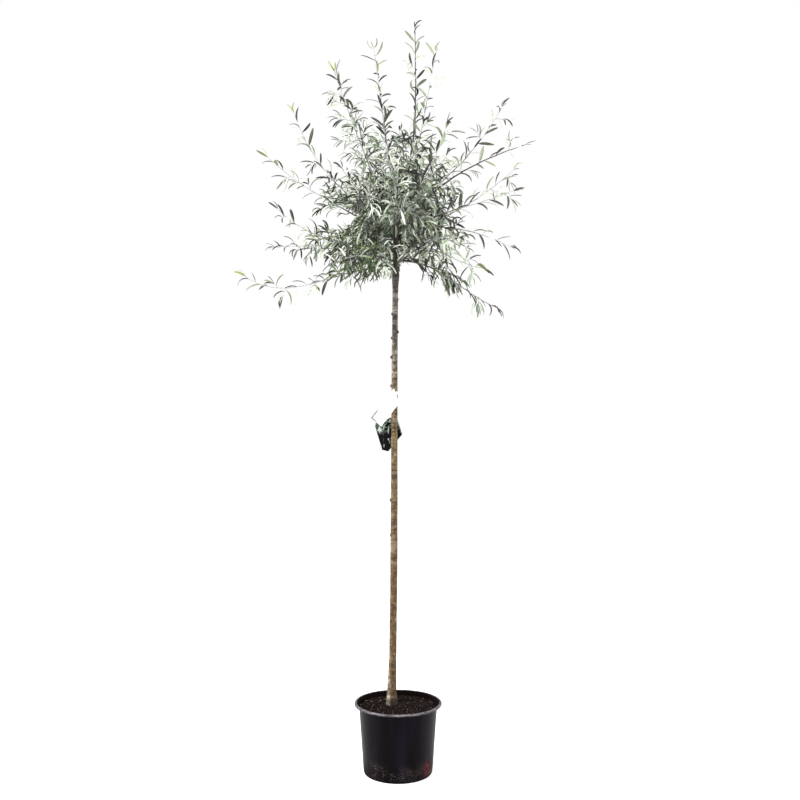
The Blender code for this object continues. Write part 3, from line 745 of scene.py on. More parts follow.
@dataclass
class Pot:
    """A round nursery pot with a rolled rim, and drain holes in its floor."""

    height: float = 0.2335
    foot_radius: float = 0.1145
    shoulder_radius: float = 0.1305
    wall: float = 0.0022
    rim_radius: float = 0.146
    rim_depth: float = 0.0095
    rim_width: float = 0.0130
    foot_round: float = 0.007
    sides: int = 120
    drain_holes: int = 6
    drain_radius: float = 0.007
    drain_circle: float = 0.082
    finish: PotPlastic = field(default_factory=PotPlastic)

    def wall_radius(self, height: float) -> float:
        """The outer radius of the straight tapering wall at a height."""
        share = height / (self.height - self.rim_depth)
        return self.foot_radius + (self.shoulder_radius - self.foot_radius) * share

    def section(self) -> list[tuple[float, float]]:
        """The section: underside, foot, wall, rolled rim, inner wall and floor."""
        neck = self.height - self.rim_depth
        points = [(0.004, 0.0), (0.060, 0.0), (self.foot_radius - self.foot_round, 0.0)]
        for step in range(1, 6):
            angle = math.radians(90 * step / 5)
            reach = self.foot_radius - self.foot_round + self.foot_round * math.sin(angle)
            points.append((reach, self.foot_round * (1 - math.cos(angle))))
        for height in np.linspace(0.02, neck - 0.012, 9):
            points.append((self.wall_radius(height), float(height)))
        points.append((self.wall_radius(neck), neck - 0.0015))
        roll = self.rim_depth / 2
        for step in range(11):
            angle = math.radians(-96 + 206 * step / 10)
            reach = self.rim_radius - roll + roll * math.cos(angle)
            points.append((reach, neck + roll + roll * math.sin(angle)))
        lip = self.rim_radius - self.rim_width
        points += [(lip + 0.0035, self.height - 0.0012), (lip, self.height - 0.0045)]
        points.append((self.wall_radius(neck) - self.wall, neck - 0.004))
        points.append((self.wall_radius(0.12) - self.wall, 0.12))
        points += [(self.wall_radius(0.0) - self.wall - 0.001, self.wall), (0.004, self.wall)]
        return points

    def build(self) -> bpy.types.Object:
        """Makes the pot."""
        pot = turn(self.section(), self.sides)
        for hole in range(self.drain_holes):
            angle = 2 * math.pi * (hole + 0.5) / self.drain_holes
            deselect()
            bpy.ops.mesh.primitive_cylinder_add(
                vertices=24,
                radius=self.drain_radius,
                depth=6 * self.wall,
                location=(
                    self.drain_circle * math.cos(angle),
                    self.drain_circle * math.sin(angle),
                    0.0,
                ),
            )
            cutter = bpy.context.object
            apply_modifier(pot, "BOOLEAN", operation="DIFFERENCE", object=cutter, solver="EXACT")
            bpy.data.objects.remove(cutter)
        self._note_inner_shade(pot)
        self._warp(pot)
        piece = finish_piece(pot, "pot_shell", self.finish.material(), 50)
        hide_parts("pot")
        return piece

    def _note_inner_shade(self, pot: bpy.types.Object) -> None:
        """Notes the vertices of the inner wall, for the finish to darken as painted shade."""
        darkened = np.zeros((len(pot.data.vertices), 3), np.float32)
        for place, mark in zip(places_of(pot), darkened):
            radius, height = math.hypot(place[0], place[1]), place[2]
            below_lip = height > self.height - 0.009 and radius < self.rim_radius - 0.0088
            mark[:] = below_lip or radius < self.wall_radius(height) - self.wall / 2
        attribute = pot.data.attributes.new("darkened", "FLOAT_VECTOR", "POINT")
        attribute.data.foreach_set("vector", darkened.ravel())

    def _warp(self, pot: bpy.types.Object) -> None:
        """Makes the thin wall a little out of round, as moulded pots are."""
        places = places_of(pot)
        angles = np.arctan2(places[:, 1], places[:, 0])
        share = np.clip(places[:, 2] / self.height, 0, 1) * (places[:, 2] > 0.004)
        wave = 0.0005 * np.sin(3 * angles + 0.6) + 0.0003 * np.sin(7 * angles + 2.0)
        level = np.linalg.norm(places[:, :2], axis=1)
        places[:, :2] *= (1 + wave * share / np.maximum(level, 0.02))[:, None]
        set_places(pot, places)


@dataclass
class Compost:
    """The compost, which is heaped a little round the trunk and strewn with crumbs."""

    pot: Pot
    top: float = 0.2275
    heap: float = 0.0070
    flat_radius: float = 0.034
    rings: int = 46
    sides: int = 132
    finish: DampCompost = field(default_factory=DampCompost)

    def edge_radius(self, height: float) -> float:
        """The radius where the compost meets the pot's inner wall."""
        return self.pot.wall_radius(height) - self.pot.wall - 0.0009

    def level(self, radius: float) -> float:
        """The height of the smooth surface at a radius."""
        edge = self.edge_radius(self.top - self.heap)
        share = min(max((radius - self.flat_radius) / (edge - self.flat_radius), 0.0), 1.0)
        return self.top - self.heap * share

    def surface(self, x: float, y: float) -> float:
        """The height of the rough surface at a place."""
        radius = math.hypot(x, y)
        calm = min(max((radius - 0.024) / 0.012, 0.0), 1.0)
        rough = noise.fractal(Vector((x, y, 0.3)) * 95, 0.9, 2.1, 5)
        broad = noise.fractal(Vector((x, y, 1.7)) * 22, 1.0, 2.0, 2)
        return self.level(radius) - 0.0016 + calm * (0.0017 * rough + 0.0022 * broad)

    def build(self) -> list[bpy.types.Object]:
        """Makes the bed and its crumbs."""
        edge_height = self.top - self.heap
        edge = self.edge_radius(edge_height)
        floor = self.pot.wall + 0.0003
        profile = [(0.004, floor), (self.edge_radius(floor), floor), (edge, edge_height - 0.006)]
        for radius in np.linspace(edge, 0.003, self.rings):
            profile.append((float(radius), self.level(float(radius)) - 0.0016))
        bed = turn(profile, self.sides)
        places = places_of(bed)
        for place in places:
            if place[2] > edge_height - 0.005:
                place[2] = self.surface(place[0], place[1])
        set_places(bed, places)
        bed = finish_piece(bed, "compost_bed", self.finish.material(), 60)
        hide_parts("compost")
        peat = Crumb("crumb_peat", (0.0025, 0.0013, 0.0010), (0.014, 0.0070, 0.0045))
        bark = Crumb("crumb_bark", (0.012, 0.0062, 0.0045), (0.070, 0.036, 0.024))
        straw = Crumb("crumb_straw", (0.12, 0.080, 0.055), (0.34, 0.27, 0.21))
        grit = Crumb("crumb_grit", (0.42, 0.40, 0.36), (0.78, 0.77, 0.74))
        return [
            bed,
            self.strew(peat, 1500, (0.0018, 0.0062), 10),
            self.strew(bark, 420, (0.0014, 0.0044), 11),
            self.strew(straw, 190, (0.0012, 0.0036), 12),
            self.strew(grit, 90, (0.0010, 0.0028), 13),
        ]

    def strew(
        self, crumb: Crumb, count: int, sizes: tuple[float, float], seed: int
    ) -> bpy.types.Object:
        """Strews crumbs over the bed.

        Args:
            crumb: their kind.
            count: how many.
            sizes: their smallest and largest size, in metres.
            seed: the seed of their places.

        Returns:
            The crumbs, as one piece.
        """
        draw = random.Random(seed)
        deselect()
        bpy.ops.mesh.primitive_ico_sphere_add(subdivisions=1, radius=0.5, location=(0, 0, 0))
        blank = bpy.context.object
        shape = places_of(blank)
        edge = self.edge_radius(self.top - self.heap) - sizes[1] * 0.7
        copies = []
        while len(copies) < count:
            x, y = draw.uniform(-edge, edge), draw.uniform(-edge, edge)
            if not 0.030 < math.hypot(x, y) < edge:
                continue
            size = sizes[0] + (sizes[1] - sizes[0]) * draw.random() ** 2.2
            grain = np.array([draw.uniform(0.8, 1.6), draw.uniform(0.5, 1.0), draw.uniform(0.4, 0.8)])
            chip = shape * grain * size
            chip += np.array([[draw.uniform(-0.1, 0.1) for _ in range(3)] for _ in chip]) * size
            turned = chip @ rotation(draw)
            copies.append(turned + (x, y, self.surface(x, y) + size * 0.18))
        piece = copies_of(blank, crumb.name, np.array(copies))
        bpy.data.objects.remove(blank)
        return finish_piece(piece, crumb.name + "s", crumb.material(), 30)


def rotation(draw: random.Random) -> np.ndarray:
    """A random turn, as a matrix."""
    across, along, over = (draw.uniform(0, 2 * math.pi) for _ in range(3))
    matrix = np.identity(3)
    for (first, second), angle in zip(((0, 1), (1, 2), (0, 2)), (across, along, over)):
        part = np.identity(3)
        part[first, first] = part[second, second] = math.cos(angle)
        part[first, second], part[second, first] = -math.sin(angle), math.sin(angle)
        matrix = matrix @ part
    return matrix


# Trunk


class Stub(NamedTuple):
    """The healed stub of a pruned bud: its height, its side in degrees, how far it stands
    out and how wide it is."""

    height: float
    azimuth: float
    swell: float
    spread: float


STUBS = (
    Stub(0.352, 214, 0.0020, 0.0060),
    Stub(0.438, 325, 0.0016, 0.0050),
    Stub(0.560, 248, 0.0020, 0.0060),
    Stub(0.668, 300, 0.0018, 0.0055),
    Stub(0.790, 205, 0.0036, 0.0065),
    Stub(0.907, 192, 0.0050, 0.0070),
    Stub(0.985, 318, 0.0022, 0.0055),
    Stub(1.060, 236, 0.0020, 0.0055),
    Stub(1.337, 262, 0.0026, 0.0060),
    Stub(1.287, 196, 0.0055, 0.0065),
    Stub(1.383, 190, 0.0056, 0.0065),
    Stub(1.4465, 186, 0.0052, 0.0060),
    Stub(1.4665, 344, 0.0048, 0.0060),
    Stub(1.527, 192, 0.0046, 0.0060),
    Stub(1.575, 340, 0.0034, 0.0055),
    Stub(0.720, 80, 0.0030, 0.0060),
    Stub(1.130, 110, 0.0032, 0.0060),
    Stub(1.410, 66, 0.0036, 0.0060),
)


@dataclass
class Trunk:
    """The clear stem, with its root flare, healed stubs, a graft and a rough skin."""

    foot: float = 0.2278
    fork: float = 1.870
    foot_x: float = -0.0200
    fork_x: float = -0.0045
    foot_y: float = -0.0060
    sway: float = 0.0020
    foot_radius: float = 0.0128
    top_radius: float = 0.0085
    flare: float = 0.0055
    flare_height: float = 0.022
    graft_height: float = 1.655
    graft_swell: float = 0.0024
    graft_spread: float = 0.035
    bulge: float = 0.0040
    sides: int = 44
    cuts: int = 19
    finish: TrunkBark = field(default_factory=TrunkBark)

    def centre(self, height: float) -> np.ndarray:
        """The middle of the trunk at a height."""
        share = (height - self.foot) / (self.fork - self.foot)
        sway = self.sway * math.sin(2 * math.pi * share)
        x = self.foot_x + (self.fork_x - self.foot_x) * share + sway
        return np.array((x, self.foot_y * (1 - share), height))

    def radius(self, height: float) -> float:
        """The trunk's radius at a height."""
        share = (height - self.foot) / (self.fork - self.foot)
        taper = self.foot_radius + (self.top_radius - self.foot_radius) * share
        flare = self.flare * math.exp(-(height - self.foot) / self.flare_height)
        off = (height - self.graft_height) / self.graft_spread
        return taper + flare + self.graft_swell * math.exp(-(off**2))

    def skin(self, angle: float, height: float) -> float:
        """How far the bark stands out from the smooth trunk at a place."""
        around = Vector((math.cos(angle), math.sin(angle), 0.0))
        ribs = noise.fractal(Vector((around.x * 2.2, around.y * 2.2, height * 9)), 0.8, 2.0, 4)
        rough = noise.fractal(Vector((around.x * 3.5, around.y * 3.5, height * 70)), 0.7, 2.1, 4)
        relief = 0.00050 * ribs + 0.00034 * rough
        low = math.exp(-(height - self.foot) / (1.6 * self.flare_height))
        relief += 0.0022 * low * max(math.sin(3 * angle + 0.7), -0.4)
        bulge = math.exp(-(((height - 0.270) / 0.075) ** 2))
        relief += self.bulge * bulge * max(-around.x, 0.0)
        off = (height - self.graft_height) / (0.45 * self.graft_spread)
        relief += 0.0011 * math.exp(-(off**2)) * math.sin(2 * angle + 1.1 + 20 * (height - 1.6))
        for stub in STUBS:
            away = self.beside(stub, angle, height)
            relief += stub.swell * math.exp(-(away**2) * 1.6)
            relief -= 0.20 * stub.swell * math.exp(-((away - 1.25) ** 2) * 9)
        return relief

    def beside(self, stub: Stub, angle: float, height: float) -> float:
        """How far a place on the trunk is from a stub, in spreads of the stub."""
        turned = (angle - math.radians(stub.azimuth) + math.pi) % (2 * math.pi) - math.pi
        return math.hypot(height - stub.height, turned * self.radius(height)) / stub.spread

    def build(self) -> bpy.types.Object:
        """Makes the trunk: a cylinder cut into many rings, each moved to the trunk's line."""
        deselect()
        bpy.ops.mesh.primitive_cylinder_add(
            vertices=self.sides, radius=1.0, depth=1.0, end_fill_type="TRIFAN", location=(0, 0, 0)
        )
        trunk = bpy.context.object
        bpy.ops.object.mode_set(mode="EDIT")
        for _ in range(2):
            bpy.ops.object.mode_set(mode="OBJECT")
            mesh = trunk.data
            places = [vertex.co for vertex in mesh.vertices]
            upright = []
            for edge in mesh.edges:
                start, end = (places[i] for i in edge.vertices)
                upright.append(abs(start.z - end.z) > 1e-6)
            for kind in (mesh.vertices, mesh.polygons):
                kind.foreach_set("select", [False] * len(kind))
            mesh.edges.foreach_set("select", upright)
            bpy.context.tool_settings.mesh_select_mode = (False, True, False)
            bpy.ops.object.mode_set(mode="EDIT")
            bpy.ops.mesh.subdivide(number_cuts=self.cuts)
        bpy.ops.object.mode_set(mode="OBJECT")
        bpy.context.tool_settings.mesh_select_mode = (True, False, False)
        places = places_of(trunk)
        scars = np.zeros((len(places), 3), np.float32)
        for place, scar in zip(places, scars):
            height = self.foot + (self.fork - self.foot) * (place[2] + 0.5)
            angle = math.atan2(place[1], place[0])
            level = math.hypot(place[0], place[1])
            inner = level < 0.5
            reach = 0.0 if inner else self.radius(height) + self.skin(angle, height)
            centre = self.centre(height)
            place[:] = centre + np.array((math.cos(angle), math.sin(angle), 0.0)) * reach
            away = min(self.beside(stub, angle, height) for stub in STUBS)
            scar[:] = math.exp(-(away**2) * 1.2)
        set_places(trunk, places)
        attribute = trunk.data.attributes.new("scar", "FLOAT_VECTOR", "POINT")
        attribute.data.foreach_set("vector", scars.ravel())
        piece = finish_piece(trunk, "trunk_bark", self.finish.material(), 75)
        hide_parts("trunk")
        return piece


# Crown


class Tip(NamedTuple):
    """Where a shoot ends: its azimuth and level reach from the trunk, its height, and the
    angle above level at which its tip points."""

    azimuth: float
    reach: float
    height: float
    nod: float


class Head(NamedTuple):
    """A bough and the foliage it carries: the height where it leaves the trunk, its angle
    above level there, and the tips of its shoots. The first shoot carries the others."""

    name: str
    leave: float
    rise: float
    tips: tuple[Tip, ...]


HEADS = (
    Head("left_low", 1.690, -2, (Tip(178, 0.536, 1.676, 42), Tip(196, 0.270, 1.640, -24))),
    Head("front_left_low", 1.700, 6, (Tip(239, 0.410, 1.640, -20), Tip(262, 0.250, 1.740, 0))),
    Head("front_right_low", 1.694, 14, (Tip(-60, 0.414, 1.720, -16), Tip(-33, 0.369, 1.654, 4))),
    Head("right_low", 1.706, -2, (Tip(-8, 0.370, 1.529, -18), Tip(-22, 0.230, 1.600, -36))),
    Head("back_low", 1.712, 10, (Tip(90, 0.450, 1.800, 0),)),
    Head("left_back", 1.722, 14, (Tip(157, 0.504, 1.774, -2),)),
    Head("left", 1.736, 8, (Tip(200, 0.431, 1.878, 48), Tip(222, 0.270, 1.730, -10))),
    Head("right", 1.746, 42, (Tip(11, 0.429, 1.746, -26),)),
    Head("back_left", 1.748, 30, (Tip(115, 0.463, 2.000, 30), Tip(128, 0.427, 1.760, -10))),
    Head(
        "front",
        1.752,
        24,
        (Tip(274, 0.451, 1.850, 10), Tip(262, 0.333, 2.150, 66), Tip(296, 0.260, 1.840, 20)),
    ),
    Head("back_right", 1.768, 26, (Tip(62, 0.476, 2.020, 32), Tip(52, 0.449, 1.790, -8))),
    Head("right_front", 1.774, 32, (Tip(-29, 0.455, 1.907, 18),)),
    Head("left_up", 1.778, 33, (Tip(174, 0.465, 2.087, 45),)),
    Head("front_left", 1.790, 30, (Tip(245, 0.419, 1.950, 30), Tip(226, 0.260, 1.870, 20))),
    Head("right_back", 1.786, 22, (Tip(16, 0.449, 2.059, 42),)),
    Head("right_up", 1.806, 50, (Tip(-12, 0.463, 2.079, 15),)),
    Head("left_high", 1.804, 36, (Tip(158, 0.398, 2.275, 72),)),
    Head("front_right", 1.816, 44, (Tip(-64, 0.378, 2.000, 34), Tip(-41, 0.227, 2.158, 72))),
    Head("back_high", 1.818, 50, (Tip(88, 0.305, 2.250, 68),)),
    Head("right_high", 1.832, 44, (Tip(8, 0.380, 2.266, 62),)),
    Head("left_top", 1.838, 58, (Tip(209, 0.246, 2.334, 66),)),
    Head("right_top", 1.850, 62, (Tip(51, 0.231, 2.498, 72),)),
    Head("top_back", 1.856, 80, (Tip(130, 0.131, 2.484, 78),)),
    Head("leader", 1.866, 72, (Tip(-18, 0.064, 2.510, 90),)),
)

# Heads whose last leaves are young and yellow-green
YOUNG_HEADS = {"left_low", "left_up", "left_high", "left_top", "right_top", "top_back", "right_back"}
# Heads whose shoots have lost their down
BARE_HEADS = {"leader", "right_up"}


class Opening(NamedTuple):
    """A place where the crown is open, as the camera sees it: its middle in x and z, its
    half sizes, how far back it starts to be full, and the share of leaves that stay."""

    x: float
    z: float
    half_x: float
    half_z: float
    back: float
    keep: float


OPENINGS = (
    Opening(-0.195, 1.848, 0.056, 0.036, 1.0, 0.08),
    Opening(0.262, 1.868, 0.080, 0.034, 1.0, 0.20),
    Opening(0.190, 1.968, 0.040, 0.034, 1.0, 0.30),
    Opening(0.045, 1.655, 0.040, 0.042, 1.0, 0.00),
    Opening(0.205, 2.020, 0.036, 0.050, 1.0, 0.45),
    Opening(-0.195, 2.190, 0.030, 0.035, 1.0, 0.50),
    Opening(-0.020, 1.585, 0.160, 0.055, 1.0, 0.12),
    Opening(0.130, 1.582, 0.036, 0.040, 1.0, 0.12),
    Opening(-0.030, 2.262, 0.028, 0.045, 1.0, 0.30),
    Opening(-0.060, 2.107, 0.032, 0.034, 1.0, 0.35),
    Opening(-0.004, 1.745, 0.018, 0.070, 0.0, 0.25),
)


class Thicket(NamedTuple):
    """A place where the crown is fuller, as the camera sees it: its middle in x and z, how
    far it reaches, and how much nearer the hub it grows as if it were."""

    x: float
    z: float
    reach: float
    gain: float


THICKETS = (
    Thicket(-0.205, 2.265, 0.090, 0.70),
    Thicket(-0.150, 2.120, 0.090, 0.50),
    Thicket(-0.070, 2.270, 0.050, 0.60),
    Thicket(0.050, 2.300, 0.060, 0.60),
    Thicket(0.128, 2.190, 0.070, 0.80),
    Thicket(0.185, 1.700, 0.115, 0.45),
    Thicket(0.270, 1.700, 0.080, 0.55),
    Thicket(0.275, 1.975, 0.060, 0.60),
    Thicket(0.250, 1.570, 0.075, 0.80),
    Thicket(-0.310, 1.710, 0.115, 0.65),
    Thicket(-0.345, 1.860, 0.060, 0.60),
)


class Wood(Enum):
    """The bark of a shoot: its name, and the colour of its outer part."""

    DOWNY = ("bark_downy", (0.330, 0.325, 0.335))
    BARE = ("bark_bare", (0.036, 0.032, 0.030))


class Limb(NamedTuple):
    """A tapering limb: the points of its line, and its radius at each."""

    line: np.ndarray
    radii: np.ndarray


class Leaf(NamedTuple):
    """A leaf: where its root is, the way it points and faces, its size, how far it curls
    and twists, in radians, how deeply it is folded, and a number of its own."""

    root: np.ndarray
    ahead: np.ndarray
    up: np.ndarray
    length: float
    width: float
    curl: float
    twist: float
    fold: float
    chance: float


def seen(place: np.ndarray) -> tuple[float, float]:
    """(x, z) of a place as the photograph's camera sees it, in the plane of the trunk."""
    nearer = CAMERA[1] / (CAMERA[1] - place[1])
    return (
        CAMERA[0] + (place[0] - CAMERA[0]) * nearer,
        CAMERA[2] + (place[2] - CAMERA[2]) * nearer,
    )


def unit(vector: np.ndarray) -> np.ndarray:
    """The vector at length 1."""
    return vector / np.linalg.norm(vector)


def heading(azimuth: float, elevation: float) -> np.ndarray:
    """The unit vector at an azimuth and an angle above level, in degrees."""
    turned, raised = math.radians(azimuth), math.radians(elevation)
    level = math.cos(raised)
    return np.array((level * math.cos(turned), level * math.sin(turned), math.sin(raised)))


def sideways(way: np.ndarray, roll: float) -> np.ndarray:
    """The unit vector square to a direction, on the side that roll gives in degrees."""
    across = unit(np.cross(way, SKEW))
    turned = math.radians(roll)
    return across * math.cos(turned) + np.cross(way, across) * math.sin(turned)


class Line:
    """A smooth line of points."""

    def __init__(self, points: np.ndarray) -> None:
        """Takes the points of the line."""
        self.points = points
        steps = np.linalg.norm(np.diff(points, axis=0), axis=1)
        self.run = np.concatenate([[0.0], np.cumsum(steps)])

    @classmethod
    def bend(
        cls, start: np.ndarray, end: np.ndarray, out: np.ndarray, into: np.ndarray
    ) -> "Line":
        """The curve from start, heading out, to end, heading into it."""
        handle = 0.4 * np.linalg.norm(end - start)
        first, second = start + out * handle, end - into * handle
        t = np.linspace(0, 1, 97)[:, None]
        s = 1 - t
        points = s**3 * start + 3 * s**2 * t * first + 3 * s * t**2 * second + t**3 * end
        return cls(points)

    @property
    def length(self) -> float:
        """The line's length."""
        return float(self.run[-1])

    def at(self, distance: float) -> tuple[np.ndarray, np.ndarray]:
        """(the point at a distance along the line, the direction there)."""
        place = np.array([np.interp(distance, self.run, self.points[:, k]) for k in range(3)])
        step = int(np.searchsorted(self.run, distance)) - 1
        step = min(max(step, 0), len(self.points) - 2)
        return place, unit(self.points[step + 1] - self.points[step])

    def part(self, start: float, end: float, steps: int) -> np.ndarray:
        """Points at even distances along part of the line."""
        return np.array([self.at(d)[0] for d in np.linspace(start, end, steps + 1)])


@dataclass
class Crown:
    """The boughs, and the shoots, twigs and leaves that grow on from them."""

    trunk: Trunk
    low: np.ndarray
    high: np.ndarray
    body: tuple[float, float, float] = (-0.045, -0.03, 1.872)
    body_size: tuple[float, float, float] = (0.174, 0.265, 0.240)
    bough_length: float = 0.056
    bough_radius: float = 0.0042
    shoot_radius: float = 0.0027
    side_shoot_radius: float = 0.0021
    shoot_tip_radius: float = 0.0007
    bare_stout: float = 1.35
    fork_share: float = 0.20
    tip_leaves: float = 0.038
    twig_radius: float = 0.00105
    twig_tip_radius: float = 0.0005
    inner_twig: float = 0.115
    outer_twig: float = 0.050
    seed: int = 41

    def __post_init__(self) -> None:
        """Starts with no limb and no leaf."""
        self.draw = random.Random(self.seed)
        self.limbs: dict[Wood, list[Limb]] = {wood: [] for wood in Wood}
        self.twigs: list[Limb] = []
        self.leaves: dict[Tint, list[Leaf]] = {tint: [] for tint in Tint}

    def tip_point(self, tip: Tip) -> np.ndarray:
        """Where the last leaf of a shoot ends."""
        foot = self.trunk.centre(self.trunk.fork)
        level = heading(tip.azimuth, 0) * tip.reach
        return np.array((foot[0] + level[0], foot[1] + level[1], tip.height))

    def share(self, place: np.ndarray) -> float:
        """How far out in the crown a place is: below 1 in its dense body."""
        away = (place - np.array(self.body)) / np.array(self.body_size)
        share = float(np.linalg.norm(away))
        x, z = seen(place)
        for thicket in THICKETS:
            beside = math.hypot(x - thicket.x, z - thicket.z)
            share -= thicket.gain * max(1 - (beside / thicket.reach) ** 2, 0.0)
        return share

    def before_body(self, place: np.ndarray) -> bool:
        """True if the camera sees the place in front of the dense body, or behind it."""
        x, z = seen(place)
        across, over = x - self.body[0], z - self.body[2]
        return math.hypot(across / self.body_size[0], over / self.body_size[2]) < 1

    def grow(self) -> None:
        """Grows every head."""
        for head in HEADS:
            tip = head.tips[0]
            wood = Wood.BARE if head.name in BARE_HEADS else Wood.DOWNY
            centre = self.trunk.centre(head.leave)
            root = centre + heading(tip.azimuth, 0) * self.trunk.radius(head.leave) * 0.5
            out, into = heading(tip.azimuth, head.rise), heading(tip.azimuth, tip.nod)
            main = Line.bend(root, self.tip_point(tip), out, into)
            length = main.length - self.tip_leaves
            self.add_shoot(main, length, self.bough_radius, self.bough_length, wood)
            young = head.name in YOUNG_HEADS
            self.clothe(main, self.bough_length * 0.8, length, young)
            for side_tip in head.tips[1:]:
                at, way = main.at(self.bough_length + self.fork_share * (length - self.bough_length))
                into = heading(side_tip.azimuth, side_tip.nod)
                side = Line.bend(at, self.tip_point(side_tip), way, into)
                side_length = side.length - self.tip_leaves
                self.add_shoot(side, side_length, self.side_shoot_radius, 0.0, wood)
                self.clothe(side, 0.02, side_length, False)

    def add_shoot(
        self, line: Line, length: float, radius: float, bough: float, wood: Wood
    ) -> None:
        """Adds a shoot's wood, which swells a little at each leaf.

        Args:
            line: its line.
            length: how much of the line it has.
            radius: its radius at its root.
            bough: how much of it is bough, which tapers faster.
            wood: its bark.
        """
        steps = max(16, round(length / 0.0075))
        points = line.part(0.0, length, steps)
        share = np.linspace(0, 1, steps + 1)
        taper = radius + (self.shoot_tip_radius - radius) * share**0.8
        if bough:
            run = share * length
            thick = self.bough_radius + (self.shoot_radius - self.bough_radius) * run / bough
            outer = (run - bough) / (length - bough)
            slim = self.shoot_radius + (self.shoot_tip_radius - self.shoot_radius) * outer
            taper = np.where(run < bough, thick, slim)
        if wood is Wood.BARE:
            taper = taper * self.bare_stout
        phase = self.draw.uniform(0, 6.28)
        swell = 1 + 0.10 * np.sin(phase + share * length / 0.011) ** 4
        sway = np.array([self.draw.uniform(-1, 1) for _ in range(3 * (steps + 1))])
        sway = sway.reshape(-1, 3) * 0.0007 * np.minimum(share * 8, 1)[:, None]
        self.limbs[wood].append(Limb(points + sway, taper * swell))

    def tint_at(self, place: np.ndarray, share: float) -> Tint:
        """The green of a spray, by where it is in the crown. The dark SHADE tint is painted
        shade: it goes to half the sprays deep in the crown, and to many low-left and outer ones;
        the pale SILVER goes mostly to upper and low right sprays.
        """
        x, _, z = place
        patch = math.hypot(x + 0.125, z - 1.680) < 0.065 or math.hypot(x + 0.367, z - 1.862) < 0.04
        if patch and self.draw.random() < 0.7:
            return Tint.GREEN
        if share > 1.0:
            weights = (0.44, 0.16, 0.12, 0.00, 0.28) if x > 0.12 else (0.30, 0.14, 0.12, 0.02, 0.42)
        # Painted light and shade: deep, low-left and outer sprays are dealt the dark SHADE tint more,
        # upper ones the pale SILVER.
        elif share < 0.62:
            weights = (0.14, 0.18, 0.04, 0.14, 0.50)
        elif x > 0.03 and z < 1.84:
            weights = (0.54, 0.16, 0.08, 0.06, 0.16)
        elif z < 1.80:
            weights = (0.28, 0.22, 0.06, 0.16, 0.28)
        else:
            weights = (0.54, 0.18, 0.06, 0.06, 0.16)
        kinds = (Tint.SILVER, Tint.SAGE, Tint.OLIVE, Tint.GREEN, Tint.SHADE)
        return self.draw.choices(kinds, weights)[0]

    def fits(self, points: np.ndarray) -> bool:
        """True if these points are inside the crown's box, clear of the trunk, and not in an
        opening."""
        if (points < self.low).any() or (points > self.high).any():
            return False
        for x, y, z in points:
            beside = math.hypot(x + 0.005, y)
            if beside < 0.055 and z < 1.645 or beside < 0.012:
                return False
        middle = points[len(points) // 2]
        x, z = seen(middle)
        for gap in OPENINGS:
            inside = math.hypot((x - gap.x) / gap.half_x, (z - gap.z) / gap.half_z) < 1
            if inside and middle[1] < gap.back and self.draw.random() > gap.keep:
                return False
        return True

    def add_leaf(
        self, root: np.ndarray, way: np.ndarray, roll: float, tint: Tint, size: float, angle: float
    ) -> None:
        """Adds a leaf that leaves a twig and arches over, if there is room for it.

        Args:
            root: where it starts.
            way: the way its twig runs.
            roll: the side of the twig that it is on, in degrees.
            tint: the green of its spray.
            size: its size, of a full-grown leaf's.
            angle: its angle to the twig, in degrees.
        """
        draw = self.draw
        length = draw.uniform(0.050, 0.066) * size
        width = length * draw.uniform(0.125, 0.160) * (0.7 + 0.4 * size)
        for attempt in range(4):
            outward = sideways(way, roll + 51.0 * attempt)
            spread = math.radians(angle + draw.uniform(-12, 12))
            low = min(max((1.68 - root[2]) / 0.06, 0.0), 1.0)
            droop = 0.12 + low * (1.1 if root[0] > 0.1 else 0.15)
            ahead = unit(way * math.cos(spread) + outward * math.sin(spread) - UP * droop)
            lean = sideways(ahead, draw.uniform(0, 360)) * 0.55
            up = unit(outward * 0.3 + UP - ahead * ahead[2] + lean)
            side = unit(np.cross(ahead, up))
            up = np.cross(side, ahead)
            tip = root + ahead * length * 0.97
            middle = root + ahead * length * 0.5 + up * length * 0.16
            edge = width * 0.5 * abs(side)
            if self.fits(np.array([middle - edge, middle, tip, middle + edge])):
                curl = draw.choice((0.5, 0.9, 1.4, 1.9)) * draw.uniform(0.75, 1.2)
                twist = draw.uniform(-0.7, 0.7)
                fold = draw.uniform(0.12, 0.42)
                leaf = Leaf(root, ahead, up, length, width, curl, twist, fold, draw.random())
                self.leaves[tint].append(leaf)
                return

    def add_twig(self, root: np.ndarray, way: np.ndarray, roll: float, length: float) -> None:
        """Adds a twig that leaves a shoot sideways and bows down, with its leaves."""
        draw = self.draw
        for attempt in range(5):
            side = sideways(way, roll + 47.0 * attempt)
            ahead = unit(way * 0.65 + side)
            bow = draw.uniform(0.05, 0.32)
            share = np.linspace(0, 1, 6)[:, None]
            line = root + ahead * length * share - UP * bow * length * share**2
            if self.fits(line[2:]):
                break
            length *= 0.85
        else:
            return
        radii = self.twig_radius + (self.twig_tip_radius - self.twig_radius) * share[:, 0]
        self.twigs.append(Limb(line, radii))
        whole = Line(line)
        out = self.share(line[3])
        tint = self.tint_at(line[3], out)
        full = 0.46 + 0.44 * min(out, 1.0)
        at, step = draw.uniform(0.004, 0.012), 0
        while at < whole.length - 0.004:
            place, towards = whole.at(at)
            size = full * (1 - 0.15 * (at / whole.length) ** 2)
            own = tint if draw.random() < 0.5 else self.tint_at(place, out)
            self.add_leaf(place, towards, roll + GOLDEN_ANGLE * step, own, size, 50)
            at += draw.uniform(0.0045, 0.0075)
            step += 1
        end, towards = whole.at(whole.length)
        for turned in (20.0, 200.0):
            self.add_leaf(end, towards, roll + turned, tint, 0.65, 22)

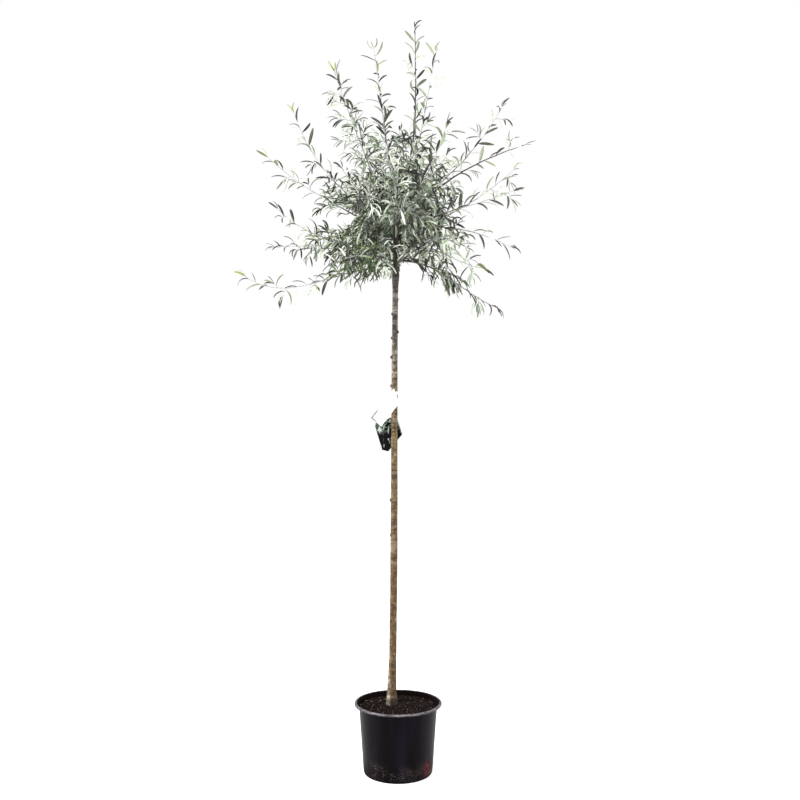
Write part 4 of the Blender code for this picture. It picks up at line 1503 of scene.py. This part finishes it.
    def clothe(self, line: Line, start: float, end: float, young: bool) -> None:
        """Puts twigs along a shoot where the crown is dense, and single leaves beyond.

        Args:
            line: the shoot's line.
            start: the distance along it where its leaves begin.
            end: the distance where they end.
            young: whether its last leaves are young.
        """
        draw = self.draw
        distance, step = start, 0
        while distance < end - 0.016:
            at, way = line.at(distance)
            share = self.share(at)
            roll = GOLDEN_ANGLE * step + draw.uniform(-20, 20)
            if draw.random() < (1.27 - share) / 0.35:
                reach = min(share, 1.0)
                length = self.inner_twig + (self.outer_twig - self.inner_twig) * reach
                self.add_twig(at, way, roll, length * draw.uniform(0.6, 1.2))
                spacing = 0.0080 + 0.0100 * reach
            elif draw.random() < 0.15:
                self.add_twig(at, way, roll, draw.uniform(0.020, 0.036))
                spacing = 0.026
            else:
                tint = self.tint_at(at, share)
                size = draw.uniform(0.85, 1.08) * (0.68 if self.before_body(at) else 1.0)
                self.add_leaf(at, way, roll, tint, size, 46)
                spacing = 0.0130 + 0.0055 * min(max(share - 1, 0.0), 2.0)
            distance += spacing * draw.uniform(0.75, 1.25)
            step += 1
        at, way = line.at(end)
        # Painted shade: the last leaves of a shoot that are not young take the dark SHADE tint.
        tint = Tint.YOUNG if young else Tint.SHADE
        for turned, size, angle in ((40, 0.80, 14), (220, 0.66, 26), (130, 0.40, 8)):
            self.add_leaf(at, way, turned + draw.uniform(-25, 25), tint, size, angle)

    def build_limbs(self) -> list[bpy.types.Object]:
        """Makes the wood: boughs with their shoots, and twigs."""
        pieces = []
        for wood, limbs in self.limbs.items():
            piece = self.swept(wood.value[0], limbs, 2)
            rumple(piece, 0.00030, 260, 3)
            piece = finish_piece(piece, wood.value[0], ShootBark(*wood.value).material(), 60)
            names = [head.name for head in HEADS if (head.name in BARE_HEADS) == (wood is Wood.BARE)]
            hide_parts(*(f"bough_{name}" for name in names))
            pieces.append(piece)
        twigs = self.swept("twigs", self.twigs, 0)
        downy = pieces[0].data.materials[0]
        return [*pieces, finish_piece(twigs, "twigs", downy, 60)]

    @staticmethod
    def swept(name: str, limbs: Sequence[Limb], roundness: int) -> bpy.types.Object:
        """Sweeps round sections along the lines of limbs, and makes them one mesh."""
        curve = bpy.data.curves.new(name, "CURVE")
        curve.dimensions = "3D"
        curve.bevel_depth = 1.0
        curve.bevel_resolution = roundness
        curve.use_fill_caps = True
        for limb in limbs:
            spline = curve.splines.new("POLY")
            spline.points.add(len(limb.line) - 1)
            places = np.column_stack([limb.line, np.ones(len(limb.line))])
            spline.points.foreach_set("co", places.astype(np.float32).ravel())
            spline.points.foreach_set("radius", limb.radii.astype(np.float32))
        piece = bpy.data.objects.new(name, curve)
        bpy.context.scene.collection.objects.link(piece)
        activate(piece)
        bpy.ops.object.convert(target="MESH")
        return bpy.context.object

    def build_leaves(self) -> list[bpy.types.Object]:
        """Makes the leaves, a piece for each green."""
        blank = leaf_blank()
        masses = [f"foliage_{head.name}" for head in HEADS]
        pieces = []
        for tint, leaves in self.leaves.items():
            if not leaves:
                continue
            name = tint.value[0] + "_spray"
            piece = copies_of(blank, name, bent(places_of(blank), leaves))
            note_blade(piece, places_of(blank), leaves)
            piece = finish_piece(piece, name, LeafFinish(tint).material(), 42)
            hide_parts(*masses)
            LOG.info("%s: %d leaves", name, len(leaves))
            pieces.append(piece)
        bpy.data.objects.remove(blank)
        return pieces


LEAF_OUTLINE = (
    (0.0, 0.10),
    (0.10, 0.34),
    (0.26, 0.86),
    (0.46, 1.0),
    (0.66, 0.96),
    (0.84, 0.70),
    (0.95, 0.36),
    (1.0, 0.0),
)
LEAF_THICKNESS = 0.0008


def leaf_blank() -> bpy.types.Object:
    """A straight leaf to copy: a bar of four sides, narrowed to a leaf's outline. Along X it
    runs from 0 to 1, along Y from -0.5 to 0.5, and along Z from -1 beneath to 1 above."""
    deselect()
    bpy.ops.mesh.primitive_cylinder_add(
        vertices=4,
        radius=1.0,
        depth=1.0,
        end_fill_type="NGON",
        location=(0, 0, 0),
    )
    blank = bpy.context.object
    places = places_of(blank)
    along = places[:, 2] + 0.5
    across, over = places[:, 0].copy(), places[:, 1].copy()
    set_places(blank, np.column_stack([along, across * 0.5, over]))
    bpy.ops.object.mode_set(mode="EDIT")
    for station, _ in LEAF_OUTLINE[1:-1]:
        bpy.ops.mesh.select_all(action="SELECT")
        bpy.ops.mesh.bisect(plane_co=(station, 0, 0), plane_no=(1, 0, 0))
    choose(blank, lambda co: co.x > 0.999)
    bpy.ops.mesh.merge(type="CENTER")
    bpy.ops.mesh.select_all(action="SELECT")
    bpy.ops.mesh.normals_make_consistent(inside=False)
    bpy.ops.object.mode_set(mode="OBJECT")
    places = places_of(blank)
    stations, widths = zip(*LEAF_OUTLINE)
    places[:, 1:] *= np.interp(places[:, 0], stations, widths)[:, None]
    set_places(blank, places)
    return blank


def bent(shape: np.ndarray, leaves: Sequence[Leaf]) -> np.ndarray:
    """Bends a straight leaf into each of these leaves.

    Args:
        shape: the straight leaf's vertices.
        leaves: the leaves.

    Returns:
        The vertices of each leaf, (leaves, vertices, 3).
    """
    def column(name: str) -> np.ndarray:
        """One number of each leaf."""
        return np.array([getattr(leaf, name) for leaf in leaves])[:, None]

    root, ahead, up = (
        np.array([getattr(leaf, name) for leaf in leaves])[:, None] for name in ("root", "ahead", "up")
    )
    side = np.cross(ahead, up)
    along, across, over = shape.T[:, None]
    curl, twist = column("curl"), column("twist")
    lean = curl * (0.5 - along)
    forward = (np.sin(0.5 * curl) - np.sin(lean)) / curl
    lift = (np.cos(lean) - np.cos(0.5 * curl)) / curl
    length, width = column("length"), column("width")
    spine = ahead * (forward * length)[..., None] + up * (lift * length)[..., None]
    normal = up * np.cos(lean)[..., None] - ahead * np.sin(lean)[..., None]
    turned = twist * along
    level = side * np.cos(turned)[..., None] + normal * np.sin(turned)[..., None]
    raised = normal * np.cos(turned)[..., None] - side * np.sin(turned)[..., None]
    offset = over * LEAF_THICKNESS / 2 + abs(across) * width * 2 * column("fold")
    return root + spine + level * (across * width)[..., None] + raised * offset[..., None]


def note_blade(piece: bpy.types.Object, shape: np.ndarray, leaves: Sequence[Leaf]) -> None:
    """Notes the place on its leaf of each vertex, for the finish."""
    outline = np.interp(shape[:, 0], *zip(*LEAF_OUTLINE))
    side = shape[:, 2] / np.maximum(outline, 1e-6)
    blade = np.empty((len(leaves), len(shape), 3), np.float32)
    blade[..., 0] = shape[:, 0]
    blade[..., 1] = np.clip(side, -1, 1)
    blade[..., 2] = np.array([leaf.chance for leaf in leaves])[:, None]
    attribute = piece.data.attributes.new("blade", "FLOAT_VECTOR", "POINT")
    attribute.data.foreach_set("vector", blade.ravel())


# Label


@dataclass
class Tag:
    """The plain label, whose shape is the CAD model's own."""

    def build(self, nodes: dict[str, bpy.types.Object]) -> None:
        """Dresses the loop, the strip and the card."""
        white, card = LabelPlastic().material(), CardPrint().material()
        for name, material in (("tag_loop", white), ("tag_label", white), ("tag_card", card)):
            nodes[name].data.materials.clear()
            nodes[name].data.materials.append(material)
            LOG.info("%s: dressed", name)


# Studio


@dataclass
class Lamp:
    """A soft square lamp that points at a place."""

    name: str
    place: tuple[float, float, float]
    target: tuple[float, float, float]
    size: float
    power: float

    def build(self) -> bpy.types.Object:
        """Makes the lamp."""
        data = bpy.data.lights.new(self.name, "AREA")
        data.size = self.size
        data.energy = self.power
        lamp = bpy.data.objects.new(self.name, data)
        lamp.location = self.place
        way = Vector(self.target) - Vector(self.place)
        lamp.rotation_euler = way.to_track_quat("-Z", "Y").to_euler()
        bpy.context.scene.collection.objects.link(lamp)
        return lamp


@dataclass
class Studio:
    """A pale floor, soft light and the camera of the photograph."""

    camera_place: tuple[float, float, float] = CAMERA
    focal_pixels: float = 1010.0
    image_pixels: float = 800.0
    sensor: float = 36.0
    sky_low: float = 1.0
    sky_high: float = 0.45
    lamps: tuple[Lamp, ...] = (
        Lamp("key", (-2.2, -2.4, 4.6), (0.0, 0.0, 1.6), 1.5, 330.0),
        Lamp("left_side", (-2.6, 0.4, 1.0), (0.0, 0.0, 0.7), 1.2, 60.0),
        Lamp("right_side", (2.6, 0.2, 1.0), (0.0, 0.0, 0.7), 1.2, 45.0),
    )

    def build(self) -> None:
        """Makes the studio."""
        scene = bpy.context.scene
        scene.view_settings.view_transform = "Standard"
        scene.world = self._sky()
        for lamp in self.lamps:
            lamp.build()
        data = bpy.data.cameras.new("camera")
        data.sensor_width = self.sensor
        data.lens = self.sensor * self.focal_pixels / self.image_pixels
        camera = bpy.data.objects.new("camera", data)
        camera.location = self.camera_place
        camera.rotation_euler = (math.radians(90), 0.0, 0.0)
        scene.collection.objects.link(camera)
        scene.camera = camera
        deselect()
        bpy.ops.mesh.primitive_circle_add(vertices=64, radius=30, fill_type="NGON")
        floor = bpy.context.object
        floor.name = "floor"
        floor.data.materials.append(StudioFloor().material())
        floor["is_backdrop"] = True

    def _sky(self) -> bpy.types.World:
        """A white surround that is dimmer overhead."""
        world = bpy.data.worlds.new("studio_sky")
        world.use_nodes = True
        tree = world.node_tree
        background = tree.nodes["Background"]
        place = tree.nodes.new("ShaderNodeTexCoord")
        axes = tree.nodes.new("ShaderNodeSeparateXYZ")
        tree.links.new(place.outputs["Generated"], axes.inputs[0])
        level = tree.nodes.new("ShaderNodeMapRange")
        level.interpolation_type = "SMOOTHSTEP"
        for name, value in (
            ("From Min", 0.40),
            ("From Max", 0.62),
            ("To Min", self.sky_low),
            ("To Max", self.sky_high),
        ):
            level.inputs[name].default_value = value
        tree.links.new(axes.outputs["Z"], level.inputs["Value"])
        tree.links.new(level.outputs[0], background.inputs["Strength"])
        background.inputs["Color"].default_value = (1.0, 1.0, 1.0, 1.0)
        return world


def write_sizes() -> None:
    """Brings the view layer up to date. It writes no sizes."""
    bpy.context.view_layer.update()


def main() -> None:
    """Builds the plant, its pot and the studio."""
    logging.basicConfig(level=logging.INFO, format="%(message)s")
    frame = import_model()
    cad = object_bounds()
    deselect()
    Studio().build()
    pot = Pot()
    pot.build()
    Compost(pot).build()
    trunk = Trunk()
    trunk.build()
    margin = 0.0015
    crown = Crown(trunk, np.array(cad[0]) + margin, np.array(cad[1]) - margin)
    crown.grow()
    crown.build_limbs()
    crown.build_leaves()
    Tag().build(frame["nodes"])
    write_sizes()


if __name__ == "__main__":
    main()
